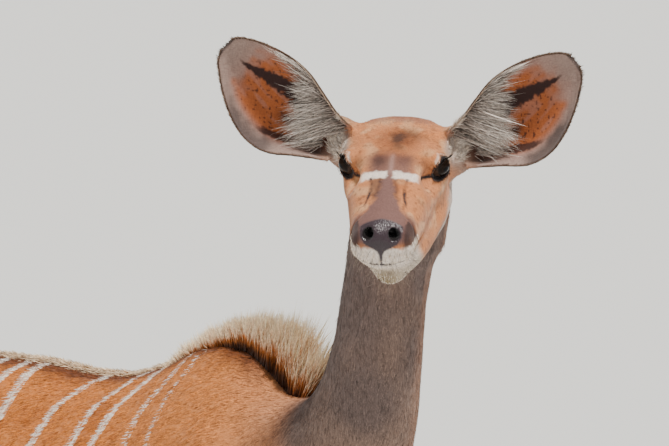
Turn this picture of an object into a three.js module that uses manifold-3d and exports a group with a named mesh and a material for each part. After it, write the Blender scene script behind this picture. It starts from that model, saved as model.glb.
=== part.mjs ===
// A greater kudu cow, life size, standing with her head turned to her right.
// Units are millimetres. The animal faces -Y, her left is +X and +Z is up. The hooves stand on Z = 0.
import * as THREE from 'three';
import { mergeVertices } from 'three/addons/utils/BufferGeometryUtils.js';
import Module from 'manifold-3d';

const wasm = await Module();
wasm.setup();

// Driving dimensions
const WITHERS_HEIGHT = 1200;        // skin at the highest point of the shoulder hump
const HEAD_YAW = -42.5;             // degrees from straight ahead; minus is to her right
const HEAD_PITCH = 32;              // degrees that the bridge of the nose points down
const HEAD_ROLL = 1.5;              // degrees; plus lowers her left side
const EYES = { forward: 505, left: -92, up: 1482 };   // the point between the eyeballs
const EYE_RADIUS = 18.5;
const EYE_HALF_SPACING = 66;
const LID_THICKNESS = 4;
const EAR_LENGTH = 250;
const EAR_THICKNESS = 5;
const TAIL_TOP = 1066;
const TAIL_LENGTH = 430;
const GAP = 0.3;                    // clearance between pieces that touch

// The tables below are written for this height, and the finished animal is scaled from it.
const TABLE_WITHERS_HEIGHT = 1200;
const RAD = Math.PI / 180;
const SIDES = { left: 1, right: -1 };

const COAT = new THREE.MeshStandardMaterial({ color: 0xb07c4f, roughness: 0.85 });
const NECK_COAT = new THREE.MeshStandardMaterial({ color: 0x9a8370, roughness: 0.85 });
const MANE = new THREE.MeshStandardMaterial({ color: 0xcdb694, roughness: 0.9 });
const EAR_SKIN = new THREE.MeshStandardMaterial({ color: 0xa98c7c, roughness: 0.8 });
const EYE = new THREE.MeshStandardMaterial({ color: 0x17100c, roughness: 0.08 });
const HORN = new THREE.MeshStandardMaterial({ color: 0x2d2724, roughness: 0.5 });

const at = (forward, left, up) => new THREE.Vector3(left, -forward, up);
const power = (value, exponent) => Math.sign(value) * Math.abs(value) ** exponent;

// Booleans

function solid(geometry) {
  const bare = new THREE.BufferGeometry();
  bare.setAttribute('position', geometry.attributes.position);
  bare.setIndex(geometry.index);
  const merged = mergeVertices(bare, 1e-3);
  return new wasm.Manifold(new wasm.Mesh({
    numProp: 3,
    vertProperties: new Float32Array(merged.attributes.position.array),
    triVerts: new Uint32Array(merged.index.array),
  }));
}

function geometryOf(manifold) {
  const mesh = manifold.getMesh();
  const geometry = new THREE.BufferGeometry();
  geometry.setAttribute('position', new THREE.BufferAttribute(new Float32Array(mesh.vertProperties), 3));
  geometry.setIndex(new THREE.BufferAttribute(new Uint32Array(mesh.triVerts), 1));
  geometry.computeVertexNormals();
  return geometry;
}

// Lofts

// Rings of points joined into a closed skin. Each end ring is closed by zipping its first half to its second.
function loft(rings) {
  const n = rings[0].length;
  const index = [];
  const quad = (a, b, c, d) => index.push(a, b, d, b, c, d);
  for (let i = 0; i < rings.length - 1; i++) {
    for (let k = 0; k < n; k++) {
      const next = (k + 1) % n;
      quad(i * n + k, i * n + next, (i + 1) * n + next, (i + 1) * n + k);
    }
  }
  const end = (rings.length - 1) * n;
  for (let k = 0; k < n / 2 - 1; k++) {
    quad(n - 1 - k, n - 2 - k, k + 1, k);
    quad(end + k, end + k + 1, end + n - 2 - k, end + n - 1 - k);
  }
  const geometry = new THREE.BufferGeometry().setFromPoints(rings.flat());
  geometry.setIndex(index);
  geometry.computeVertexNormals();
  return geometry;
}

const ring = (count, point) => Array.from({ length: count }, (_, k) => point(k / count * 2 * Math.PI));

// A closed body through stations. Each station is [forward, left, up, half width, dorsal reach, ventral reach,
// turn in degrees, dorsal power, ventral power]: its section is a superellipse square to the line of centres,
// where power 2 is an ellipse, less is a ridge and more is a box. On a leg, dorsal is the front.
function body(stations, around, grow = 0) {
  const centres = stations.map(([forward, left, up]) => at(forward, left, up));
  return loft(stations.map(([, , , wide, dorsal, ventral, turn, top, bottom], i) => {
    const before = centres[Math.max(0, i - 1)];
    const after = centres[Math.min(stations.length - 1, i + 1)];
    const tangent = after.clone().sub(before).normalize();
    const side = new THREE.Vector3(Math.cos(turn * RAD), Math.sin(turn * RAD), 0);
    side.addScaledVector(tangent, -side.dot(tangent)).normalize();
    const back = new THREE.Vector3().crossVectors(tangent, side);
    return ring(around, (angle) => {
      const isTop = Math.sin(angle) > 0;
      const exponent = 2 / (isTop ? top : bottom);
      const reach = (isTop ? dorsal : ventral) + grow;
      return centres[i].clone()
        .addScaledVector(side, (wide + grow) * power(Math.cos(angle), exponent))
        .addScaledVector(back, reach * power(Math.sin(angle), exponent));
    });
  }));
}

// Stations on the middle plane, from [forward, level, half width, top, bottom, dorsal power, ventral power].
const straight = (rows) => rows.map(([forward, level, wide, top, bottom, dorsal, ventral]) =>
  [forward, 0, level, wide, top - level, level - bottom, 0, dorsal, ventral]);

// Trunk, from the buttocks to the point of the chest

const trunk = (grow) => body(straight([
  [-1002, 985, 26, 1022, 940, 2, 2],
  [-985, 982, 78, 1062, 892, 2, 2],
  [-930, 972, 126, 1104, 836, 2, 2.1],
  [-850, 960, 160, 1138, 786, 1.9, 2.2],
  [-750, 942, 178, 1154, 748, 1.8, 2.2],
  [-620, 912, 184, 1149, 712, 1.75, 2.1],
  [-470, 882, 198, 1134, 678, 1.7, 2.0],
  [-320, 878, 202, 1133, 664, 1.7, 2.0],
  [-200, 884, 192, 1156, 668, 1.6, 2.0],
  [-110, 888, 176, 1190, 682, 1.55, 2.0],
  [-40, 890, 163, 1200, 702, 1.55, 2.0],
  [40, 892, 150, 1184, 726, 1.6, 2.0],
  [110, 895, 128, 1130, 765, 1.8, 2.0],
  [165, 900, 92, 1045, 812, 2, 2],
  [196, 905, 34, 965, 862, 2, 2],
]), 20, grow);

const neck = (grow) => body([
  [-30, 0, 950, 112, 190, 180, 0, 2, 2],
  [100, 0, 965, 114, 176, 160, 0, 1.9, 2],
  [198, 0, 992, 104, 140, 140, 0, 1.9, 2],
  [270, 0, 1048, 90, 108, 110, 0, 2, 2],
  [314, -2, 1120, 77, 92, 90, -6, 2, 2],
  [342, -5, 1200, 69, 84, 80, -12, 2, 2],
  [360, -8, 1275, 66, 78, 72, -18, 2, 2],
  [376, -7, 1342, 69, 72, 66, -26, 2, 2.2],
  [384, 0, 1372, 76, 72, 64, -30, 2, 2.2],
  [392, -1, 1410, 78, 70, 62, -34, 2, 2.2],
  [402, 1, 1472, 75, 64, 58, -40, 2, 2.2],
  [404, 0, 1512, 56, 46, 46, -42.5, 2, 2],
], 16, grow);

const tail = () => body([
  [-930, 0, 1074, 28, 22, 26, 0, 2, 2],
  [-984, 0, 1064, 24, 18, 20, 0, 2, 2],
  [-1020, 0, 1032, 21, 16, 16, 0, 2, 2],
  [-1036, 0, 970, 18, 13, 14, 0, 2, 2],
  [-1040, 0, 890, 18, 12, 14, 0, 2, 2],
  [-1042, 0, 810, 24, 15, 20, 0, 2, 2],
  [-1044, 0, 740, 31, 19, 26, 0, 2, 2],
  [-1044, 0, 690, 26, 16, 22, 0, 2, 2],
  [-1042, 0, TAIL_TOP - TAIL_LENGTH, 8, 6, 7, 0, 2, 2],
], 10);

// Head, in a frame of its own: forward from the point between the eyes towards the nostrils

const headFrame = new THREE.Matrix4().compose(
  at(EYES.forward, EYES.left, EYES.up),
  new THREE.Quaternion().setFromEuler(
    new THREE.Euler(HEAD_PITCH * RAD, HEAD_ROLL * RAD, HEAD_YAW * RAD, 'ZXY'),
  ),
  new THREE.Vector3(1, 1, 1),
);
const inHead = (geometry) => geometry.applyMatrix4(headFrame);

const skull = () => body(straight([
  [-134, -38, 46, -10, -80, 2, 2],
  [-117, -32, 64, 8, -100, 2.4, 2.2],
  [-95, -26, 74, 21, -112, 2.8, 2.3],
  [-68, -20, 79, 28, -118, 3.0, 2.4],
  [-38, -16, 81, 33, -118, 3.0, 2.5],
  [-8, -12, 82, 34, -114, 2.6, 2.5],
  [22, -10, 77, 31, -104, 2.5, 2.5],
  [50, -16, 69, 25, -95, 2.4, 2.5],
  [85, -26, 64, 21, -90, 2.2, 2.5],
  [125, -30, 57, 18, -80, 2.2, 2.4],
  [165, -25, 51, 16, -67, 2.4, 2.4],
  [186, -23, 46, 13, -60, 2.4, 2.3],
  [197, -20, 33, 6, -48, 2.3, 2.2],
  [201, -20, 20, -4, -38, 2, 2],
]), 18);

// The jaw is a little to her left, as a cow's is when she chews.
const JAW_SHIFT = 8;

const lowerJaw = () => body(straight([
  [-96, -76, 50, -36, -112, 2, 2],
  [-68, -78, 72, -24, -128, 2.2, 2.2],
  [-30, -80, 77, -24, -134, 2.3, 2.3],
  [10, -80, 74, -26, -128, 2.4, 2.2],
  [50, -80, 66, -34, -121, 2.4, 2.1],
  [90, -78, 59, -40, -116, 2.4, 1.9],
  [130, -74, 50, -44, -111, 2.3, 1.7],
  [158, -71, 42, -46, -108, 2.3, 1.6],
  [174, -70, 36, -48, -102, 2.3, 1.7],
  [183, -71, 21, -54, -90, 2, 2],
]).map(([forward, , ...rest]) => [forward, JAW_SHIFT, ...rest]), 12);

// The line between the lips, in from the front of the mouth
const mouthSlit = () => new THREE.BoxGeometry(150, 110, 1.2)
  .rotateX(-0.10)
  .translate(...at(172, 0, -58));

const nostril = (side) => new THREE.SphereGeometry(1, 8, 6)
  .scale(5, 13, 5.5)
  .rotateX(-0.5)
  .rotateZ(side * 0.5)
  .translate(...at(196, side * 22, -2));

const eye = (side, grow = 0) => new THREE.SphereGeometry(EYE_RADIUS + grow, 12, 8)
  .rotateX(Math.PI / 2)
  .translate(...at(0, side * EYE_HALF_SPACING, 0));

// The lids part along a slit that runs round the eyeball, from the outer corner to a lower inner one.
const SLIT = { outerAngle: -22, innerAngle: 86, halfHeight: 12.5, outerRise: 3.6, innerDrop: 9 };

function lidOpening(side) {
  const along = [-1, -0.8, -0.5, -0.15, 0.15, 0.5, 0.8, 1];
  return loft(along.map((t) => {
    const turn = THREE.MathUtils.lerp(SLIT.outerAngle, SLIT.innerAngle, (t + 1) / 2) * RAD;
    const half = 0.6 + SLIT.halfHeight * Math.sqrt(1 - t * t);
    const level = t > 0 ? -SLIT.innerDrop * t : -SLIT.outerRise * t;
    return ring(8, (angle) => {
      const radius = EYE_RADIUS + 3 + 9 * Math.cos(side * angle);
      return at(
        radius * Math.sin(turn),
        side * (EYE_HALF_SPACING + radius * Math.cos(turn)),
        level + half * Math.sin(side * angle),
      );
    });
  }));
}

// Ear: a cup of crescent sections on a thick stalk, open towards the front

// Her left ear hangs a little lower than the right one.
const EARS = {
  left: { root: at(-62, 67, -14), along: at(-50, 187, 151) },
  right: { root: at(-62, -67, -9), along: at(-50, -180, 159) },
};
const EAR_FACING = { forward: 0.85, out: 0.1, up: 0.5 };
const EAR_CUT = 0.13;               // where the ear leaves the head, as a part of its length
const EAR_CUP = [
  // along, upper edge, lower edge, depth of the cup
  [0.10, 20, -46, 38],
  [0.24, 22, -71, 43],
  [0.37, 30, -95, 44],
  [0.52, 38, -103, 39],
  [0.67, 36, -94, 32],
  [0.80, 27, -77, 24],
  [0.91, 14, -57, 15],
  [0.98, 0, -39, 8],
  [1.0, -8, -28, 5],
];
const EAR_STALK = [
  // along, upper edge, lower edge, half thickness, how far forward
  [-0.30, 26, -32, 28, -14],
  [-0.14, 30, -38, 36, -14],
  [0.0, 27, -43, 33, -16],
  [0.10, 21, -46, 24, -26],
  [0.19, 15, -47, 14, -34],
  [0.25, 4, -36, 5, -34],
];

function earFrame(side) {
  const { root: base, along: axis } = side > 0 ? EARS.left : EARS.right;
  const along = axis.clone().normalize();
  const open = at(EAR_FACING.forward, side * EAR_FACING.out, EAR_FACING.up);
  open.addScaledVector(along, -open.dot(along)).normalize();
  const across = new THREE.Vector3().crossVectors(along, open).multiplyScalar(-side);
  const place = (part, upward, opening) => base.clone()
    .addScaledVector(along, EAR_LENGTH * part)
    .addScaledVector(across, upward)
    .addScaledVector(open, opening);
  return { along, place };
}

function earCup(side) {
  const { place } = earFrame(side);
  const steps = Array.from({ length: 8 }, (_, k) => side * (1 - k / 3.5));
  return loft(EAR_CUP.map(([part, upper, lower, depth]) => {
    const point = (t, raise) => place(
      part,
      (upper + lower) / 2 + (upper - lower) / 2 * Math.sin(t * Math.PI / 2),
      depth * (0.4 - Math.cos(t * Math.PI / 2)) + raise * (1 - 0.4 * t * t),
    );
    const inside = steps.map((t) => point(t, EAR_THICKNESS / 2));
    const outside = steps.map((t) => point(-t, -EAR_THICKNESS / 2));
    return [...inside, ...outside];
  }));
}

function earStalk(side) {
  const { place } = earFrame(side);
  return loft(EAR_STALK.map(([part, upper, lower, thick, lie]) => ring(10, (angle) => place(
    part,
    (upper + lower) / 2 + (upper - lower) / 2 * Math.cos(angle),
    lie + thick * Math.sin(side * angle),
  ))));
}

// Legs, from inside the body down to the hoof. A stride moves the foot without moving the shoulder or hip.

const STRIDES = {
  fore: { left: 46, right: -18 },
  hind: { left: -34, right: 40 },
};
const STRIDE_TOP = 740;
const strideAt = (stride, up) => stride * Math.max(0, 1 - up / STRIDE_TOP);

const FORE = [
  [-46, 66, 1085, 24, 50, 50, 0, 2, 2],
  [5, 92, 1005, 43, 80, 78, 0, 2, 2],
  [55, 112, 905, 58, 88, 96, 0, 2, 2],
  [30, 112, 815, 54, 70, 90, 0, 2, 2],
  [-4, 108, 730, 45, 52, 66, 0, 2, 2],
  [-10, 104, 660, 38, 42, 48, 0, 2, 2],
  [-4, 99, 560, 30, 33, 36, 0, 2, 2],
  [2, 95, 470, 25, 26, 27, 0, 2, 2],
  [5, 93, 412, 28, 30, 26, 0, 2.3, 2.3],
  [1, 91, 360, 22, 22, 23, 0, 2.2, 2.2],
  [-3, 89, 262, 18, 18, 21, 0, 2.2, 2.2],
  [-3, 88, 172, 19.5, 19, 22, 0, 2.2, 2.2],
  [-3, 87, 126, 25, 23, 28, 0, 2.2, 2.2],
  [10, 87, 92, 21, 20, 21, 0, 2.2, 2.2],
  [24, 87, 62, 25, 25, 25, 0, 2.2, 2.2],
  [36, 87, 34, 22, 22, 22, 0, 2.2, 2.2],
];

const HIND = [
  [-800, 82, 1060, 60, 90, 110, 0, 2, 2],
  [-832, 98, 975, 72, 118, 140, 0, 2, 2],
  [-826, 106, 885, 70, 122, 140, 0, 2, 2],
  [-806, 110, 800, 59, 100, 122, 0, 2, 2],
  [-812, 110, 720, 47, 66, 84, 0, 2, 2],
  [-842, 105, 640, 37, 44, 54, 0, 2, 2],
  [-882, 100, 562, 28, 32, 38, 0, 2, 2],
  [-914, 96, 505, 26, 30, 37, 0, 2, 2],
  [-925, 94, 462, 27, 29, 34, 0, 2.2, 2.2],
  [-922, 92, 400, 22, 24, 25, 0, 2.2, 2.2],
  [-914, 90, 300, 19, 20, 21, 0, 2.2, 2.2],
  [-908, 88, 190, 19.5, 20, 22, 0, 2.2, 2.2],
  [-906, 87, 130, 25, 24, 28, 0, 2.2, 2.2],
  [-893, 87, 94, 21, 20, 21, 0, 2.2, 2.2],
  [-879, 87, 63, 25, 25, 25, 0, 2.2, 2.2],
  [-867, 87, 34, 22, 22, 22, 0, 2.2, 2.2],
];

const leg = (stations, side, stride) => body(stations.map(([forward, left, up, ...section]) =>
  [forward + strideAt(stride, up), side * left, up, ...section]), 12);

// One claw of a cloven hoof, with its flat sole on the floor and its toe forward. The toe leans inwards.

const CLAW = [
  // up, heel, toe, half width
  [0, -27, 40, 12.5],
  [20, -28, 33, 13],
  [42, -24, 20, 12],
  [60, -14, 6, 9],
];
const CLAW_SPACING = 15.5;
const TOE_LEAN = 0.35;

function claw(foot, out, grow = 1) {
  const shape = loft(CLAW.map(([up, heel, toe, wide]) => ring(10, (angle) => at(
    (toe + heel) / 2 + (toe - heel) / 2 * Math.cos(angle),
    wide * power(Math.sin(angle), 0.8) - Math.max(0, Math.cos(angle)) ** 2 * out * wide * TOE_LEAN,
    up,
  ))));
  return shape.scale(grow, grow, 1).translate(...at(foot.forward, foot.left + out * CLAW_SPACING, 0));
}

const dewclaw = (foot, out, grow = 0) => new THREE.SphereGeometry(1, 6, 4)
  .scale(8 + grow, 10 + grow, 14 + grow)
  .rotateX(-0.5)
  .translate(...at(foot.forward - 58, foot.left + out * CLAW_SPACING, 108));

// The crest of hair on the withers, leaning forward

const CREST = [
  // forward, root, height of the hair, half width, lean
  [-190, 1148, 26, 16, -4],
  [-110, 1175, 42, 22, 0],
  [-50, 1190, 48, 25, 2],
  [10, 1192, 56, 26, 8],
  [60, 1168, 86, 25, 32],
  [105, 1136, 110, 22, 56],
  [138, 1104, 98, 18, 58],
];
const CREST_EDGE = 3;
const CREST_SUNK = 12;

const crest = () => loft(CREST.map(([forward, root, high, wide, lean]) => [
  at(forward, wide, root - CREST_SUNK),
  at(forward + lean * 0.5, wide * 0.62, root + high * 0.5),
  at(forward + lean, CREST_EDGE, root + high),
  at(forward + lean, -CREST_EDGE, root + high),
  at(forward + lean * 0.5, -wide * 0.62, root + high * 0.5),
  at(forward, -wide, root - CREST_SUNK),
]));

// Parting the joined body. A box stands on the cut, reaching away from it, and what it holds becomes a piece.

function boxBeyond({ point, normal, size }, gap) {
  const away = normal.clone().normalize();
  const turn = new THREE.Quaternion().setFromUnitVectors(new THREE.Vector3(0, 0, 1), away);
  const centre = point.clone().addScaledVector(away, size[2] / 2 - gap / 2);
  return solid(new THREE.BoxGeometry(...size.map((length) => length + gap))
    .applyQuaternion(turn)
    .translate(...centre));
}

const partAt = (from, cut) => [from.intersect(boxBeyond(cut, 0)), from.subtract(boxBeyond(cut, GAP))];

const HEAD_CUT = {
  point: at(-62, 0, -138).applyMatrix4(headFrame),
  normal: at(0.60, -0.55, 0.58),
  size: [720, 720, 480],
};
const NECK_CUT = { point: at(178, 0, 1030), normal: at(0.80, 0, 0.60), size: [400, 800, 800] };
const TAIL_CUT = { point: at(-1013, 0, 860), normal: at(-1, 0, 0), size: [100, 560, 80] };

function earCut(side) {
  const { along, place } = earFrame(side);
  return {
    point: place(EAR_CUT, 0, 0).applyMatrix4(headFrame),
    normal: along.transformDirection(headFrame),
    size: [260, 260, 300],
  };
}

// The upper leg leaves the body at the elbow or stifle, and the lower leg starts at the knee or hock.
function legCuts({ kind, side, stride }) {
  const isFore = kind === 'fore';
  return {
    lower: {
      point: isFore
        ? at(strideAt(stride, 412), side * 92, 412)
        : at(-924 + strideAt(stride, 470), side * 94, 470),
      normal: at(0, 0, -1),
      size: [120, 280, 480],
    },
    upper: {
      point: isFore ? at(-8 + strideAt(stride, 668), side * 104, 668) : at(-830, side * 106, 700),
      normal: at(isFore ? 0 : -0.25, 0, -1),
      size: [200, 330, 330],
    },
  };
}

// Assembly

const root = new THREE.Group();

function add(name, piece, material) {
  const mesh = new THREE.Mesh(piece.isBufferGeometry ? piece : geometryOf(piece), material);
  mesh.name = name;
  root.add(mesh);
}

const legs = [];
for (const [sideName, side] of Object.entries(SIDES)) {
  for (const [kind, stations] of Object.entries({ fore: FORE, hind: HIND })) {
    const stride = STRIDES[kind][sideName];
    const [footForward, footLeft, footUp] = stations[stations.length - 1];
    legs.push({
      kind,
      side,
      stride,
      name: kind + 'leg_' + sideName,
      shape: leg(stations, side, stride),
      foot: { forward: footForward + strideAt(stride, footUp), left: side * footLeft },
    });
  }
}

// All the flesh is joined first, then opened for the eyes, nostrils, mouth and hooves, then parted.
let flesh = solid(trunk());
for (const shape of [neck(), tail(), inHead(skull()), inHead(lowerJaw()), ...legs.map((one) => one.shape)]) {
  flesh = flesh.add(solid(shape));
}
for (const side of Object.values(SIDES)) {
  for (const shape of [earStalk(side), earCup(side), eye(side, LID_THICKNESS)]) {
    flesh = flesh.add(solid(inHead(shape)));
  }
  for (const opening of [eye(side, GAP), lidOpening(side), nostril(side)]) {
    flesh = flesh.subtract(solid(inHead(opening)));
  }
}
flesh = flesh.subtract(solid(inHead(mouthSlit())));
for (const { foot } of legs) {
  for (const out of [1, -1]) {
    flesh = flesh.subtract(solid(claw(foot, out, 1.02))).subtract(solid(dewclaw(foot, out, GAP)));
  }
}

for (const one of legs) {
  const cuts = legCuts(one);
  let lower, upper;
  [lower, flesh] = partAt(flesh, cuts.lower);
  [upper, flesh] = partAt(flesh, cuts.upper);
  add(one.name + '_upper', upper, COAT);
  add(one.name + '_lower', lower, COAT);
  for (const out of [1, -1]) {
    const place = out === one.side ? 'outer' : 'inner';
    add(one.name + '_claw_' + place, claw(one.foot, out), HORN);
    add(one.name + '_dewclaw_' + place, dewclaw(one.foot, out), HORN);
  }
}

let piece;
for (const [sideName, side] of Object.entries(SIDES)) {
  [piece, flesh] = partAt(flesh, earCut(side));
  add('ear_' + sideName, piece, EAR_SKIN);
  add('eye_' + sideName, inHead(eye(side)), EYE);
}
[piece, flesh] = partAt(flesh, TAIL_CUT);
add('tail', piece, COAT);
[piece, flesh] = partAt(flesh, HEAD_CUT);
add('head', piece, COAT);
[piece, flesh] = partAt(flesh, NECK_CUT);
add('neck', piece, NECK_COAT);
add('trunk', flesh, COAT);
add('crest', solid(crest()).subtract(solid(trunk(GAP))).subtract(solid(neck(GAP))), MANE);

// The origin is on the floor under the middle of the animal.
const box = new THREE.Box3().setFromObject(root);
const scale = WITHERS_HEIGHT / TABLE_WITHERS_HEIGHT;
for (const mesh of root.children) {
  mesh.geometry.translate(-(box.min.x + box.max.x) / 2, -(box.min.y + box.max.y) / 2, -box.min.z);
  mesh.geometry.scale(scale, scale, scale);
}

export default root;
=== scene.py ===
"""A greater kudu cow, life size: one skin, her coat, eyes and hooves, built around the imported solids.

Shapes are worked out in millimetres, in the animal's axes: x to her left, y backwards, z up.
Points on the head are in the head's own axes, with the middle of the eyes as their origin.
"""

import math

import bpy
import numpy as np
import openvdb as vdb
from mathutils import Matrix, Vector


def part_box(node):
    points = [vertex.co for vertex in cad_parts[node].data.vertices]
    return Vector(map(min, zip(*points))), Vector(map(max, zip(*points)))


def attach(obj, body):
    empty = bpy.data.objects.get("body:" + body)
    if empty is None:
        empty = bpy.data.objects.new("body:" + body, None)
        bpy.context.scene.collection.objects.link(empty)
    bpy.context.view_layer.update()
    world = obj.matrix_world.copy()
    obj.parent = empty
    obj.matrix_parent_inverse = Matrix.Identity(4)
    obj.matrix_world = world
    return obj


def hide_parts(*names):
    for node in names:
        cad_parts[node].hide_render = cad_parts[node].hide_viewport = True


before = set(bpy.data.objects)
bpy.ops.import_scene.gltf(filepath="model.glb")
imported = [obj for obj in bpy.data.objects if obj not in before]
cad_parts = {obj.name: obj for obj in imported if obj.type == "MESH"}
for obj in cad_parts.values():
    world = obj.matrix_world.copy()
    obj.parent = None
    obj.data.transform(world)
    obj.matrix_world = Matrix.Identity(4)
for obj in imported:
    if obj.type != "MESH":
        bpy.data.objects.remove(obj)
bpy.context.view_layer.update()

MM = 0.001
RANDOM = np.random.default_rng(11)

# The head's place, as the solids have it
EYES_IN_TABLE = np.array([-92.0, -505.0, 1482.0])
HEAD_YAW, HEAD_PITCH, HEAD_ROLL = -42.5, 32.0, 1.5
EYE_RADIUS = 18.5
EYE_HALF_SPACING = 66.0

# The camera
CAMERA_AZIMUTH, CAMERA_ELEVATION = -35.0, 2.0
CAMERA_DISTANCE = 18000.0
FOCAL_PIXELS = 11880.0
IMAGE_SIZE = (669, 446)
EYES_PIXEL = (394.2, 165.4)


# Numbers

def smoothstep(low, high, x):
    t = np.clip((x - low) / (high - low), 0.0, 1.0)
    return t * t * (3 - 2 * t)


def smooth_min(a, b, soft):
    h = np.clip(0.5 + 0.5 * (b - a) / soft, 0.0, 1.0)
    return b + (a - b) * h - soft * h * (1 - h)


def smooth_max(a, b, soft):
    return -smooth_min(-a, -b, soft)


def unit(v):
    return v / np.maximum(np.linalg.norm(v, axis=-1, keepdims=True), 1e-9)


def turn(axis, degrees):
    return np.array(Matrix.Rotation(math.radians(degrees), 3, axis))


def node_centre(name):
    low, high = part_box(name)
    return np.array((low + high) / 2) / MM


EYES = (node_centre("eye_left") + node_centre("eye_right")) / 2
TABLE_SHIFT = EYES - EYES_IN_TABLE
HEAD_TURN = turn("Z", HEAD_YAW) @ turn("X", HEAD_PITCH) @ turn("Y", HEAD_ROLL)


def to_head(points):
    """Points as forward, left and up from the middle of the eyes."""
    local = (points - EYES) @ HEAD_TURN
    return -local[..., 1], local[..., 0], local[..., 2]


def from_head(forward, left, up):
    local = np.stack([left, -forward, up], -1)
    return local @ HEAD_TURN.T + EYES


# Fields: a signed distance in mm, below 0 inside, on a grid of points

# Cell sizes in mm. The head's room is counted in fine cells, and the body's is in mm.
FINE = 2.2
COARSE = 5.5
BODY_STEP = 6.0
HEAD_LOW = np.array([-115, -402, 546])
HEAD_HIGH = np.array([115, -200, 766])
HEAD_AXES = [np.arange(HEAD_LOW[k], HEAD_HIGH[k] + 1) * FINE for k in range(3)]
BODY_LOW = np.array([-260.0, -890.0, -12.0])
BODY_HIGH = np.array([260.0, 890.0, 1690.0])
FLESH = [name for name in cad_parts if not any(word in name for word in ("claw", "eye", "crest"))]


def node_mesh(names):
    """The named solids' points and triangles as one soup, in mm."""
    points, triangles, start = [], [], 0
    for name in names:
        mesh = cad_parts[name].data
        co = np.empty(len(mesh.vertices) * 3, np.float32)
        mesh.vertices.foreach_get("co", co)
        mesh.calc_loop_triangles()
        corners = np.empty(len(mesh.loop_triangles) * 3, np.int32)
        mesh.loop_triangles.foreach_get("vertices", corners)
        points.append(co.reshape(-1, 3) / MM)
        triangles.append(corners.reshape(-1, 3) + start)
        start += len(mesh.vertices)
    return np.concatenate(points).astype(np.float32), np.concatenate(triangles).astype(np.uint32)


def level_set(points, faces, step, band):
    kind = "triangles" if faces.shape[1] == 3 else "quads"
    return vdb.FloatGrid.createLevelSetFromPolygons(
        np.ascontiguousarray(points, np.float32),
        transform=vdb.createLinearTransform(voxelSize=step),
        halfWidth=band / step,
        **{kind: np.ascontiguousarray(faces, np.uint32)},
    )


def sampled(grid, low, shape):
    values = np.zeros(shape, np.float32)
    grid.copyToArray(values, ijk=tuple(int(i) for i in low))
    return values


SPARE_CELLS = 2.5
BLUR_ROOM = 2.6


def filled(points, faces, step, fillet, blur, low, shape):
    """The distance from a soup of solids whose cracks and creases are filled out to a fillet's radius.

    It is true as far out as the blur that follows needs.
    """
    swollen = level_set(points, faces, step, fillet + SPARE_CELLS * step)
    grid = level_set(*swollen.convertToQuads(isovalue=fillet), step, fillet + BLUR_ROOM * blur)
    return sampled(grid, low, shape) + fillet


def blurred(field, sigma):
    """A Gaussian blur, with sigma in cells."""
    reach = int(math.ceil(2.5 * sigma))
    weights = np.exp(-0.5 * (np.arange(-reach, reach + 1) / sigma) ** 2)
    weights = (weights / weights.sum()).astype(np.float32)
    for axis in range(3):
        pad = [(reach, reach) if k == axis else (0, 0) for k in range(3)]
        wide = np.pad(field, pad, mode="edge")
        size = field.shape[axis]
        field = sum(
            w * wide[tuple(slice(k, k + size) if a == axis else slice(None) for a in range(3))]
            for k, w in enumerate(weights)
        )
    return field


def resampled(field, old_axes, new_axes):
    for axis in range(3):
        old = old_axes[axis]
        place = np.interp(new_axes[axis], old, np.arange(len(old)))
        low = np.minimum(place.astype(int), len(old) - 2)
        shape = [1, 1, 1]
        shape[axis] = -1
        part = (place - low).astype(np.float32).reshape(shape)
        below = np.take(field, low, axis)
        field = below + (np.take(field, low + 1, axis) - below) * part
    return field


STEP_GROWTH = 1.12


def growing(start, end, first, last):
    """Values from start to end, with steps that grow from the first size to the last."""
    values, step = [], first
    while start < end:
        step = min(step * STEP_GROWTH, last)
        start += step
        values.append(start)
    return values


BODY_END = 890.0
FEET_TOP = 160.0
FOOT_STEP = 3.0
SKIN_BOTTOM = -8.0


def skin_axes():
    """The grid that the skin is drawn from: fine round the head, coarser over the body, finer at the feet."""
    x, y_fine, z_fine = HEAD_AXES
    y = np.concatenate([y_fine, growing(y_fine[-1], BODY_END, FINE, COARSE)])
    z_down = -np.array(growing(-z_fine[0], -FEET_TOP, FINE, COARSE))
    z_foot = z_down[-1] - np.arange(1, 60) * FOOT_STEP
    z = np.concatenate([z_foot[z_foot > SKIN_BOTTOM][::-1], z_down[::-1], z_fine])
    return x, y, z


# The body

TRUNK_FILLET, TRUNK_BLUR, LEG_BLUR = 18.0, 12.0, 5.0
LEGS_END, TRUNK_STARTS = 690.0, 800.0


def body_field(axes):
    low = np.floor(BODY_LOW / BODY_STEP).astype(int)
    shape = np.ceil((BODY_HIGH - BODY_LOW) / BODY_STEP).astype(int)
    old_axes = [(low[k] + np.arange(shape[k])) * BODY_STEP for k in range(3)]
    soup = node_mesh([name for name in FLESH if name != "tail"])
    field = filled(*soup, BODY_STEP, TRUNK_FILLET, TRUNK_BLUR, low, shape)
    trunk = blurred(field, TRUNK_BLUR / BODY_STEP)
    leg = blurred(field, LEG_BLUR / BODY_STEP)
    is_trunk = smoothstep(LEGS_END, TRUNK_STARTS, old_axes[2]).astype(np.float32)
    return resampled(leg + (trunk - leg) * is_trunk, old_axes, axes)


# Ears: a cup on a stalk, both smooth curves through the solids' own sections

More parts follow.
